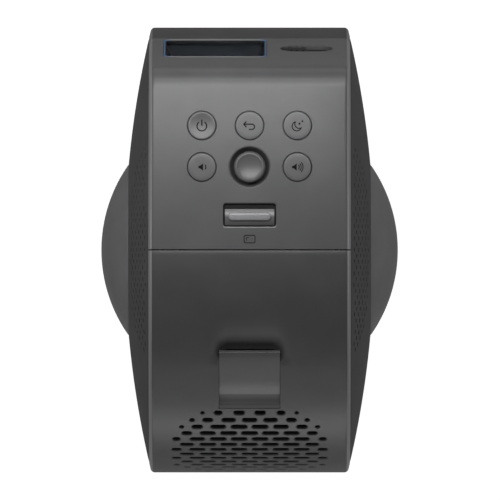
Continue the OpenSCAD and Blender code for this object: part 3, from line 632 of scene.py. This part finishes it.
def cut_controls(piece):
    """Sinks the recesses and holes of the panel and the lens face into the control cover."""
    cup_radius, cup_low = stick_recess + 1.4 * MM, -8.2 * MM
    stick_cup = turned([(0, cup_low), (cup_radius, cup_low), (cup_radius, cup_top), (0, cup_top)], 48)
    combine(piece, placed(stick_cup, on_panel(0, key_rear)), "UNION")
    latch_cup = cup(latch_size, 3 * MM, -4.1 * MM)
    combine(piece, placed(latch_cup, on_panel(0, latch_forward)), "UNION")
    slider_cup = cup(slider_size, slider_size[1] / 2 + 1.9 * MM, -slider_depth - 2.2 * MM)
    combine(piece, placed(slider_cup, on_face(slider_across)), "UNION")
    mouth = key_hole + 0.2 * MM
    hole = turned([(0, through), (key_hole, through), (key_hole, -0.12 * MM), (mouth, 0.12 * MM),
                   (mouth, proud), (0, proud)], 64)
    for across, forward in key_places.values():
        combine(piece, copied(hole, on_panel(across, forward)))
    bpy.data.objects.remove(hole)
    neck, mouth = 5.6 * MM, stick_recess + 0.7 * MM
    recess = turned([(0, through), (neck, through), (neck, -stick_depth),
                     (stick_recess - 2.4 * MM, -stick_depth), (stick_recess - 0.6 * MM, -0.6 * MM),
                     (stick_recess - 0.4 * MM, -0.3 * MM), (mouth, 0.3 * MM), (mouth, proud),
                     (0, proud)], 96)
    combine(piece, placed(recess, on_panel(0, key_rear)))
    latch_well = plug(rounded(*latch_size, 1.4 * MM), -latch_depth, 0.45 * MM, 0.3)
    combine(piece, placed(latch_well, on_panel(0, latch_forward)))
    stem_way = slab(rounded(*latch_way, latch_way_corner), -6 * MM, 0)
    combine(piece, placed(stem_way, on_panel(0, latch_way_forward)))
    window = plug(rounded(*window_size, 4 * MM, 8), through, 0.3 * MM)
    combine(piece, placed(window, on_face(window_across)))
    pocket = plug(rounded(*slider_size, slider_size[1] / 2 - 0.01 * MM, 12), -slider_depth, 0.35 * MM)
    combine(piece, placed(pocket, on_face(slider_across)))
    knob_way = slab(rounded(*slider_way, slider_way_corner), -8 * MM, 0)
    combine(piece, placed(knob_way, on_face(slider_across)))
    mend(piece)


key_places = {
    "power_key": (key_across, key_front),
    "back_key": (0.0, key_front),
    "sleep_key": (-key_across, key_front),
    "volume_down_key": (key_across, key_rear),
    "volume_up_key": (-key_across, key_rear),
}

cover = control_cover()
cut_controls(cover)
finished(cover, "control_cover", "head", panel_plastic, ["top_cover"], smooth=11)


def ring_cut(first, last, low, high, half, steps=6):
    """A block between two angles and two radii round the body axis, as wide as twice half."""
    outline = [ahead(*polar(high, first + (last - first) * i / steps), -half) for i in range(steps + 1)]
    outline += [ahead(*polar(low, last + (first - last) * i / steps), -half) for i in range(steps + 1)]
    return extruded(outline, (2 * half, 0, 0))


def rod(angle, radius, thick, half, steps=40, middle=0.0):
    """A rod across the body at a place round its axis."""
    turn = [2 * math.pi * i / steps for i in range(steps)]
    outline = [(thick * math.cos(t), thick * math.sin(t)) for t in turn]
    centre = polar(radius, angle)
    corners = [ahead(centre[0] + a, centre[1] + b, middle - half) for a, b in outline]
    return extruded(corners, (2 * half, 0, 0))


def grille_cutter():
    """All slots of the rear grille: staggered rows that shorten toward the edge of a round field."""
    slots = []
    for row in range(grille_rows):
        angle = grille_first + row * grille_step
        rise = math.radians(angle - grille_middle) * body_radius
        half = math.sqrt(max(0.0, grille_radius ** 2 - rise ** 2))
        for k in range(4):
            across = (k + (0.5 if row % 2 == 0 else 0)) * grille_pitch
            place = across - 2.5 * MM if across > half - 3 * MM else across
            if place > half:
                continue
            fade = max(0.0, math.hypot(place, rise) - grille_even) / grille_fade
            size = grille_slot - grille_loss * fade ** 2 - 0.3 * MM
            tall = min(grille_height - 0.5 * MM, size)
            slot = plug(rounded(size, tall, tall / 2 - 0.005 * MM, 4), -6 * MM, 0.45 * MM)
            for side in ([1] if across == 0 else [1, -1]):
                slots.append(copied(slot, on_rim(angle, side * place)))
            bpy.data.objects.remove(slot)
    return joined(slots)


def ease(value, low, high):
    """Rises smoothly from 0 at low to 1 at high."""
    t = min(1.0, max(0.0, (value - low) / (high - low)))
    return t * t * (3 - 2 * t)


def finger_dip(piece):
    """Presses a soft dip for a fingertip into the rear cover, in front of the port door."""
    for corner in piece.data.vertices:
        up = corner.co.z - axis_height
        angle = bearing((-corner.co.y, up))
        if up > 0 and angle < door_top + 3 and abs(corner.co.x) < dip_half + 1 * MM:
            near = min(1.0, max(0.0, (angle - door_top + 14) / 13.5))
            depth = dip_depth * near ** 2.4 * (1 - ease(abs(corner.co.x), dip_flat, dip_half))
            far = math.hypot(up, corner.co.y)
            corner.co.y *= 1 - depth / far
            corner.co.z = axis_height + up * (1 - depth / far)


def rear_grille_cover():
    """The rear cover: round, with its hinge barrel, the finger dip and doorway, and the grille."""
    piece = spun_band(90 + seam_angle, hinge_angle, [x * 2.2 * MM for x in range(-9, 10)])
    finger_dip(piece)
    for side in (-1, 1):
        notch = side * (hinge_half + 9.2 * MM)
        combine(piece, rod(hinge_angle, hinge_radius, hinge_barrel + 0.3 * MM, 9 * MM, middle=notch))
    combine(piece, rod(hinge_angle, hinge_radius, hinge_barrel, hinge_half), "UNION")
    inside, outside = body_radius - 8 * MM, body_radius + 4 * MM
    doorway = ring_cut(door_top + 0.6, door_angle + 0.3, inside, outside, door_half + 0.15 * MM, 12)
    combine(piece, doorway)
    combine(piece, rod(door_angle, body_radius - door_barrel, door_clear, door_half + 0.2 * MM, 32))
    combine(piece, grille_cutter())
    mend(piece)
    return piece


finished(rear_grille_cover(), "rear_grille_cover", "rear_cover", rear_plastic, ["rear_cover"])


def lug_neck(reach, low, half, middle):
    """The neck that joins a lug or nose to the bottom band, reaching so many degrees past the pin."""
    neck = ring_cut(hinge_angle + 0.3, hinge_angle + reach, low, hinge_radius + 2.4 * MM, half)
    return placed(neck, Matrix.Translation((middle, 0, 0)))


def lower_band():
    """The bottom band, from the rear hinge under the body to the crease of the lens face, with pin lugs.

    The rim ends in a round nose beside each lug, so that the gap of the hinge is closed at the sides.
    """
    piece = spun_band(hinge_angle, 360 + crease_angle - seam_angle)
    combine(piece, rod(hinge_angle, hinge_radius, hinge_clear, 60 * MM))
    for side in (-1, 1):
        lug = rod(hinge_angle, hinge_radius, lug_radius, lug_half, middle=side * lug_across)
        combine(piece, lug, "UNION")
        combine(piece, lug_neck(7, hinge_radius - lug_radius, 2.75 * MM, side * lug_across), "UNION")
        rim = spun_band(hinge_angle - 3, hinge_angle + 3)
        nose = rod(hinge_angle, hinge_radius, lug_radius, nose_half, middle=side * nose_across)
        combine(rim, nose, "INTERSECT")
        combine(piece, rim, "UNION")
        combine(piece, lug_neck(4, rim_radius + 0.8 * MM, 0.8 * MM, side * 45.8 * MM), "UNION")
    return piece


finished(lower_band(), "lower_band", "head", band_plastic, ["bottom_band"])


def side_shell():
    """The left side shell: a crowned disc round the dome, for staggered vent holes to be cut into
    afterwards.
    """
    rise = [rim_radius + (dome_radius - rim_radius) * i / 28 for i in range(29)]
    outside = [(r, crown(r)) for r in rise]
    outside[0] = (rim_radius - 0.4 * MM, crown(rim_radius))
    outside.insert(0, (rim_radius, crown(rim_radius) - 0.4 * MM))
    inside = [(r, crown(r, wall)) for r in reversed(rise)]
    inside[-1] = (rim_radius, crown(rim_radius, wall) - 3 * MM)
    piece = trace([ahead(0, r, x) for r, x in outside + inside + outside[:1]], fill=False)
    spin_round_body(144, 360)
    begin()
    return piece


def vent_cutter():
    """One short rod for each vent hole, over the upper part of a side shell."""
    spots = []
    for row in range(9):
        up = dome_radius + 12.8 * MM + row * vent_pitch * 0.9
        for k in range(-9, 10):
            forward = (k + (row % 2) / 2) * vent_pitch
            far = math.hypot(forward, up)
            if dome_radius + 8.8 * MM < far < rim_radius - 6 * MM and abs(forward) < 0.62 * up:
                spots.append((forward, up))
    ring = arc((0, 0), vent_radius, 0, 330, 11)
    rods = [extruded([ahead(f + a, u + b, band_half) for a, b in ring], (20 * MM, 0, 0)) for f, u in spots]
    return joined(rods)


left_shell = side_shell()
combine(left_shell, vent_cutter())
right_shell = mirrored(left_shell)
finished(left_shell, "left_side_shell", "head", shell_plastic, ["left_shell"])
finished(right_shell, "right_side_shell", "head", shell_plastic, ["right_shell"])


def side_dome():
    """The shallow dome in the middle of the left side shell."""
    foot = crown(dome_radius)
    rise = dome_half - foot
    ball = (dome_radius ** 2 + rise ** 2) / (2 * rise)
    edge = dome_radius - 0.25 * MM
    profile = []
    for i in range(25):
        r = (edge - 0.5 * MM) * i / 24
        profile.append((r, dome_half - ball + math.sqrt(ball ** 2 - r ** 2)))
    lip, root = profile[-1][1], foot - 5 * MM
    profile += [(edge - 0.15 * MM, lip - 0.35 * MM), (edge, lip - 0.9 * MM), (edge, root)]
    profile += [(edge - wall, root), (edge - wall, foot - 1 * MM), (0, foot + 6 * MM)]
    sideways = Matrix.Rotation(math.radians(90), 4, "Y")
    return placed(turned(profile, 128), Matrix.Translation((0, 0, axis_height)) @ sideways)


left_dome = side_dome()
right_dome = mirrored(left_dome)
finished(left_dome, "left_side_dome", "head", dome_plastic, ["left_dome"])
finished(right_dome, "right_side_dome", "head", dome_plastic, ["right_dome"])

# Keys, joystick, latch and slide switch


def key_profile(dish):
    """Radius and height of a key: its top with a soft edge, a flange under the panel and a stem."""
    top, soft = -0.1 * MM, 0.5 * MM
    if dish:
        ball, low = 25 * MM, 24.2 * MM
        run = [5.9 * MM * i / 8 for i in range(9)]
        head = [(r, low - math.sqrt(ball ** 2 - r ** 2)) for r in run]
    else:
        head = [(0, top - 0.06 * MM), (4.2 * MM, top - 0.04 * MM)]
    edge = arc((key_radius - soft, top - soft), soft, 90, 0, 4)
    flange, flange_top, flange_low = key_hole + 1 * MM, -2.65 * MM, -3.85 * MM
    stem, stem_low = 2 * MM, -7.2 * MM
    under = [(key_radius, flange_top), (flange, flange_top), (flange, flange_low)]
    return head + edge + under + [(stem, flange_low), (stem, stem_low), (0, stem_low)]


for name, (across, forward) in key_places.items():
    key = turned(key_profile(name == "power_key"), 64)
    finished(placed(key, on_panel(across, forward)), name + "_cap", name, key_plastic, [name])


def ribbon(points, width):
    """Outline of a drawn stroke of even width along a run of points."""
    points = [Vector(p) for p in points]
    left, right = [], []
    for i, p in enumerate(points):
        run = (points[min(i + 1, len(points) - 1)] - points[max(i - 1, 0)]).normalized()
        off = Vector((-run.y, run.x)) * width / 2
        left.append(p + off)
        right.append(p - off)
    return left + right[::-1]


def mark(name, body, place, outlines, thick=0.05 * MM):
    """A printed sign: thin shapes of ink on a surface."""
    shapes = [slab([(x * MM, y * MM) for x, y in outline], 0, thick) for outline in outlines]
    sign = placed(joined(shapes), place)
    return finished(sign, name, body, icon_ink)


power_sign = [ribbon(arc((0, -0.25), 2.3, 125, 415, 26), 0.56), ribbon([(0, -0.1), (0, 2.9)], 0.6)]
return_bend = [(-2.75, 0.65), (1.1, 0.65)] + arc((1.1, -0.6), 1.25, 80, -90, 12) + [(-0.3, -1.85)]
return_sign = [ribbon([(-1.5, 1.95), (-2.8, 0.65), (-1.5, -0.75)], 0.6), ribbon(return_bend, 0.55)]
sleep_sign = [ribbon(arc((-0.3, -0.35), 2.2, 103, 347, 24), 0.5),
              ribbon(arc((0.85, 0.7), 2.05, 143, 307, 18), 0.45),
              [(1.0, 0.3), (1.6, 0.9), (1.0, 1.5), (0.4, 0.9)],
              [(2.4, 1.5), (2.95, 2.05), (2.4, 2.6), (1.85, 2.05)]]
speaker = [(-1.6, -0.6), (-0.9, -0.6), (0.6, -1.75), (0.6, 1.75), (-0.9, 0.6), (-1.6, 0.6)]
low_sign = [speaker, ribbon(arc((0.2, 0), 1.75, -38, 38, 8), 0.52)]
waves = [ribbon(arc((-0.7, 0), r, -42, 42, 8), 0.46) for r in (1.6, 2.5, 3.4)]
high_sign = [[(x - 0.9, y) for x, y in speaker]] + waves
frame_sign = [ribbon(rounded(5.2, 3.6, 0.6, 3) + [(2.6, 1.2), (2.6, 1.0)], 0.42),
              ribbon([(-1.5, -0.75), (-1.5, 0.75), (-0.3, 0.75)], 0.36)]
key_signs = {
    "power_key": power_sign,
    "back_key": return_sign,
    "sleep_key": sleep_sign,
    "volume_down_key": low_sign,
    "volume_up_key": high_sign,
}
for name, sign in key_signs.items():
    depth = 0.69 * MM if name == "power_key" else 0.15 * MM
    mark(name + "_sign", name, on_panel(*key_places[name], -depth), sign)
mark("latch_sign", "head", on_panel(0, 5.2 * MM, -0.02 * MM), frame_sign, 0.04 * MM)


def joystick():
    """The joystick cap: a dished disc with a round rim on a neck."""
    rim, lip, neck, bore = 7.25 * MM, 0.95 * MM, 3.6 * MM, 2.25 * MM
    foot, roof = -8 * MM, -1.7 * MM
    run = (0, 1.2, 2.4, 3.6, 4.8, 5.7)
    profile = [(r * MM, (0.6 - 1.05 * (1 - (r / 6.0) ** 2)) * MM - 0.25 * MM) for r in run]
    profile += arc((rim - lip, -0.35 * MM), lip, 100, -20, 8)
    profile += [(rim - 0.5 * MM, -2.4 * MM), (rim - 1.2 * MM, -3.4 * MM), (neck, -3.6 * MM)]
    profile += [(neck, foot), (bore, foot), (bore, roof), (0, roof)]
    return turned(profile, 64)


stick = placed(joystick(), on_panel(0, key_rear))
finished(stick, "joystick_thumb_cap", "joystick_cap", key_plastic, ["joystick_cap"])


def latch():
    """The release latch: a bowed plate, its stem and the tongue to the rear cover."""
    half, low, top = latch_size[0] / 2 - 0.9 * MM, -latch_depth + 0.15 * MM, -0.45 * MM
    run = (1, 0.85, 0.7, 0.5, 0.25, 0, -0.25, -0.5, -0.7, -0.85, -1)
    bow = [(0.3 * MM + y * 3.85 * MM, top - 1.1 * MM * y * y) for y in run]
    section = [(bow[-1][0], low), (bow[0][0], low)] + bow
    plate = extruded([(-half, y, z) for y, z in section], (2 * half, 0, 0))
    stem = slab(rounded(8 * MM, 3 * MM, 0.5 * MM), -5.1 * MM, -1.5 * MM)
    side, reach, heel = 7 * MM, latch_rest - 1 * MM, 3.5 * MM
    outline = [(-side, heel), (-side, -reach), (side, -reach), (side, heel)]
    tongue = slab(outline, -6 * MM, -4.4 * MM, 0.2 * MM)
    return joined([plate, stem, tongue])


thumb_latch = placed(latch(), on_panel(0, latch_rest))
finished(thumb_latch, "thumb_latch", "release_latch", latch_plastic, ["release_latch"])
thumb_bar = slab(rounded(20.5 * MM, 3.9 * MM, 1.9 * MM, 8), -1.2 * MM, 0.85 * MM, 1.0 * MM, 4)
thumb_bar = placed(thumb_bar, on_panel(0, latch_rest + 0.6 * MM))
finished(thumb_bar, "thumb_latch_bar", "release_latch", bar_plastic)


def slide_knob():
    """The slide switch knob: a small plate with three grip ribs and a stem."""
    floor = -slider_depth + 0.3 * MM
    plate = slab(rounded(9.4 * MM, 10.4 * MM, 1.6 * MM), floor, floor + 1.2 * MM, 0.3 * MM)
    ribs = []
    for x in (-3, 0, 3):
        rib = slab(rounded(1.2 * MM, 8 * MM, 0.59 * MM), floor + 0.8 * MM, floor + 1.95 * MM, 0.3 * MM)
        ribs.append(placed(rib, Matrix.Translation((x * MM, 0, 0))))
    stem = slab(rounded(4 * MM, 3 * MM, 1.49 * MM), -8 * MM, floor + 0.5 * MM)
    return joined([plate, *ribs, stem])


knob = placed(slide_knob(), on_face(slider_across + slider_travel / 2))
finished(knob, "slide_knob", "slider_knob", knob_black_and_painted_shade, ["slider_knob"])

# Lens window, painted shade in the wells and port door


def window_ring(top, deep, broad, soften):
    """A thin frame round the edge of the lens window."""
    outline = rounded(window_size[0] - 0.2 * MM, window_size[1] - 0.2 * MM, 3.9 * MM)
    piece = trace([(x, y, top) for x, y in outline])
    bpy.ops.mesh.inset(thickness=broad)
    bpy.ops.mesh.delete(type="FACE")
    bpy.ops.mesh.select_all(action="SELECT")
    pull((0, 0, -deep))
    neaten()
    if soften:
        round_edges(lambda p: abs(p.z - top) < hair, soften, 2)
    begin()
    return placed(piece, on_face(window_across))


trim_ring = window_ring(0.15 * MM, 0.45 * MM, 0.40 * MM, 0.1 * MM)
finished(trim_ring, "lens_trim", "head", trim_painted_highlight, ["window_trim"])
liner = window_ring(-0.3 * MM, 2.4 * MM, 0.9 * MM, 0)
finished(liner, "window_liner", "head", hood_black)


def well_shade_sheet(outline, way, place):
    """A thin black sheet on the floor of a sunken well, as painted shade, with the way that a stem slides
    in.
    """
    floor = slab(outline, 0, 0.08 * MM, 0.03 * MM, 1)
    combine(floor, slab(way, -1 * MM, 1 * MM))
    return placed(floor, place)


# Painted shade: thin black sheets darken the floors of the latch well and the slider well.
ahead_of_well = latch_way_forward - latch_forward
latch_well_shade = well_shade_sheet(rounded(*[side - 0.1 * MM for side in latch_size], 1.3 * MM),
                         [(x, y + ahead_of_well) for x, y in rounded(*latch_way, latch_way_corner)],
                         on_panel(0, latch_forward, -latch_depth + 0.01 * MM))
finished(latch_well_shade, "latch_well_painted_shade", "head", knob_black_and_painted_shade)
slider_end = slider_size[1] / 2 - 0.06 * MM
slider_well_shade = well_shade_sheet(rounded(*[side - 0.1 * MM for side in slider_size], slider_end, 12),
                          rounded(*slider_way, slider_way_corner),
                          on_face(slider_across, out=-slider_depth + 0.01 * MM))
finished(slider_well_shade, "slider_well_painted_shade", "head", knob_black_and_painted_shade)


def flap():
    """The port door: a curved tab that steps down to a ramp over its hinge pin."""
    start = door_top + 0.3
    skin = [(0.1, start), (0.12, 119), (0.25, 121.5), (0.55, 124), (1.05, 126.6), (1.7, 128.9),
            (2.35, 131.0), (2.45, 131.6), (1.5, 132.9), (0.75, 134.1), (0.2, 135.2)]
    inner = [(1.4, 135.3), (3.1, 135), (3.4, 133.5), (3.7, 131.5), (3.7, 130), (3.2, 127), (2.5, 123),
             (2.1, start)]
    section = [(body_radius - depth * MM, angle) for depth, angle in skin + inner]
    plate = extruded([ahead(*polar(r, a), -door_half) for r, a in section], (2 * door_half, 0, 0))
    hold(plate)
    bpy.ops.object.mode_set(mode="EDIT")
    front = around(start, body_radius - 0.1 * MM)
    round_edges(lambda p: math.dist(p.yz, front.yz) < 20 * hair, end_ease, 3)
    begin()
    return plate


finished(flap(), "port_flap", "port_door", flap_plastic, ["port_door"])

# Base


def cradle():
    """The base: a rounded block with softened edges, a parting groove and a round saddle for the body."""
    outline = rounded(*base_size, base_corner, 10)
    narrow = [1 - groove_depth / side for side in base_size]
    ledge = 10 * hair
    piece = trace([(x, y, base_lift) for x, y in outline])
    pull((0, 0, groove_low))
    pull((0, 0, ledge))
    bpy.ops.transform.resize(value=(*narrow, 1))
    pull((0, 0, groove_gap))
    pull((0, 0, ledge))
    bpy.ops.transform.resize(value=(1 / narrow[0], 1 / narrow[1], 1))
    pull((0, 0, base_height - base_lift - groove_low - groove_gap - 2 * ledge))
    neaten()
    round_edges(lambda p: p.z > base_height - ledge, 2.2 * MM, 5)
    round_edges(lambda p: p.z < base_lift + hair, 0.8 * MM, 3)
    begin()
    room = [side - 6 * MM for side in base_size]
    hollow = slab(rounded(*room, base_corner - 3 * MM, 10), -1 * MM, 4.2 * MM)
    combine(piece, hollow)
    saddle = rod(0, 0, saddle_radius, 100 * MM, 180)
    combine(piece, saddle)
    half = math.degrees(math.asin((base_size[1] / 2 - 0.7 * base_corner) / saddle_radius)) + 0.1
    inner, outer = body_radius - 5 * MM, saddle_radius + 0.8 * MM
    for side in (-1, 1):
        bed = ring_cut(270 - half, 270 + half, inner, outer, pad_half, 24)
        combine(piece, placed(bed, Matrix.Translation((side * pad_across, 0, 0))))
    return piece


finished(cradle(), "cradle_block", "base", base_plastic, ["cradle_base"])

# CAD nodes that keep their shape

painted = [
    (base_plastic, ["cradle_bottom_plate"]),
    (soft_rubber, ["cradle_pads", "base_feet"]),
    (bright_plate, ["base_magnets", "base_screws", "shell_screws"]),
    (cast_iron, ["base_ballast"]),
    (turned_brass, ["tripod_insert", "focus_pinion"]),
    (inner_black, ["chassis", "rear_wall", "lens_barrel", "fan_frame", "port_plate", "dc_jack"]),
    (inner_black, ["key_switches", "joystick_housing", "battery_tray", "speaker_cones", "slide_switch"]),
    (inner_black, ["fan_rotor", "door_hinge_pin"]),
    (brushed_steel, ["rim_hoops", "focus_motor", "av_ports", "speaker_drivers", "cover_hinge_pin"]),
    (brushed_steel, ["joystick_gimbal", "joystick_stem"]),
    (window_glass, ["lens_window", "lens_elements"]),
    (hood_black, ["lens_hood"]),
    (milled_aluminium, ["optical_engine", "laser_module", "heat_sink", "focus_ring"]),
    (drawn_copper, ["heat_pipes"]),
    (board_green, ["main_board", "key_board"]),
    (gloss_black, ["media_stick"]),
    (cell_wrap, ["battery_cells"]),
    (phosphor_coat, ["phosphor_wheel"]),
]
for material, names in painted:
    for name in names:
        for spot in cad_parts[name].material_slots:
            spot.material = material

# Studio


def seen_strength(nodes, links, socket, plain, to_camera, in_gloss):
    """Sets a brightness for plain light, and what more the camera, and gloss and glass, see of it."""
    path = nodes.new("ShaderNodeLightPath")
    gloss = nodes.new("ShaderNodeMath")
    gloss.operation = "MAXIMUM"
    links.new(path.outputs["Is Glossy Ray"], gloss.inputs[0])
    links.new(path.outputs["Is Transmission Ray"], gloss.inputs[1])
    total = nodes.new("ShaderNodeMath")
    total.operation = "MULTIPLY_ADD"
    links.new(path.outputs["Is Camera Ray"], total.inputs[0])
    total.inputs[1].default_value = to_camera
    total.inputs[2].default_value = plain
    both = nodes.new("ShaderNodeMath")
    both.operation = "MULTIPLY_ADD"
    links.new(gloss.outputs[0], both.inputs[0])
    both.inputs[1].default_value = in_gloss
    links.new(total.outputs[0], both.inputs[2])
    links.new(both.outputs[0], socket)


def studio_floor():
    begin()
    bpy.ops.mesh.primitive_plane_add(size=8)
    floor = bpy.context.object
    floor.name = "studio_floor"
    material = bpy.data.materials.new("studio_floor_paint")
    material.use_nodes = True
    nodes, links = material.node_tree.nodes, material.node_tree.links
    nodes.remove(nodes["Principled BSDF"])
    paint = nodes.new("ShaderNodeBsdfDiffuse")
    paint.inputs["Color"].default_value = (0.35, 0.35, 0.35, 1)
    glow = nodes.new("ShaderNodeEmission")
    seen_strength(nodes, links, glow.inputs["Strength"], 0.0, 0.93, 0.06)
    both = nodes.new("ShaderNodeAddShader")
    links.new(glow.outputs[0], both.inputs[0])
    links.new(paint.outputs[0], both.inputs[1])
    links.new(both.outputs[0], nodes["Material Output"].inputs["Surface"])
    floor.data.materials.append(material)


def studio_world():
    world = bpy.data.worlds.new("studio_world")
    bpy.context.scene.world = world
    world.use_nodes = True
    nodes, links = world.node_tree.nodes, world.node_tree.links
    sky = nodes["Background"]
    sky.inputs["Color"].default_value = (1, 1, 1, 1)
    seen_strength(nodes, links, sky.inputs["Strength"], 0.08, 0.92, 0.22)


def softbox(name, place, aim, size, power):
    """A flat studio lamp that the camera doesn't see."""
    begin()
    bpy.ops.object.light_add(type="AREA", location=place)
    lamp = bpy.context.object
    lamp.name = name
    lamp.data.shape = "RECTANGLE"
    lamp.data.size, lamp.data.size_y = size
    lamp.data.energy = power
    lamp.rotation_euler = (Vector(aim) - Vector(place)).to_track_quat("-Z", "Y").to_euler()
    lamp.visible_camera = False


studio_floor()
studio_world()
softbox("overhead_softbox", (0.05, -0.082, 0.36), (0.05, -0.082, 0.23), (0.22, 0.05), 0.18)
softbox("brow_softbox", (-0.01, -0.19, 0.507), (-0.01, -0.08, 0.228), (0.34, 0.05), 0.42)
softbox("front_high_softbox", (0, -0.30, 0.45), (0, -0.09, 0.22), (0.34, 0.06), 0.26)
softbox("front_low_softbox", (0, -0.50, 0.11), (0, -0.10, 0.14), (0.8, 0.2), 0.36)
softbox("rear_high_softbox", (0, 0.50, 0.36), (0, 0.09, 0.20), (0.6, 0.2), 0.35)
softbox("rear_low_softbox", (0, 0.55, 0.09), (0, 0.09, 0.19), (0.8, 0.17), 1.1)
softbox("left_softbox", (0.55, 0, 0.22), (0.05, 0, 0.15), (0.5, 0.04), 0.36)
softbox("right_softbox", (-0.55, 0, 0.22), (-0.05, 0, 0.15), (0.5, 0.04), 0.48)

# Camera: straight above, far away, the front of the body at the top of the picture

view_width = 239.4 * MM
camera_drop = 10.5
begin()
bpy.ops.object.camera_add(location=(-0.2 * MM, 0, 0.17 + camera_drop), rotation=(0, 0, math.pi))
camera = bpy.context.object
camera.name = "camera_above"
camera.data.sensor_width = 36
camera.data.lens = camera.data.sensor_width * camera_drop / view_width
camera.data.clip_end = 50
bpy.context.scene.camera = camera
bpy.context.scene.view_settings.view_transform = "Standard"
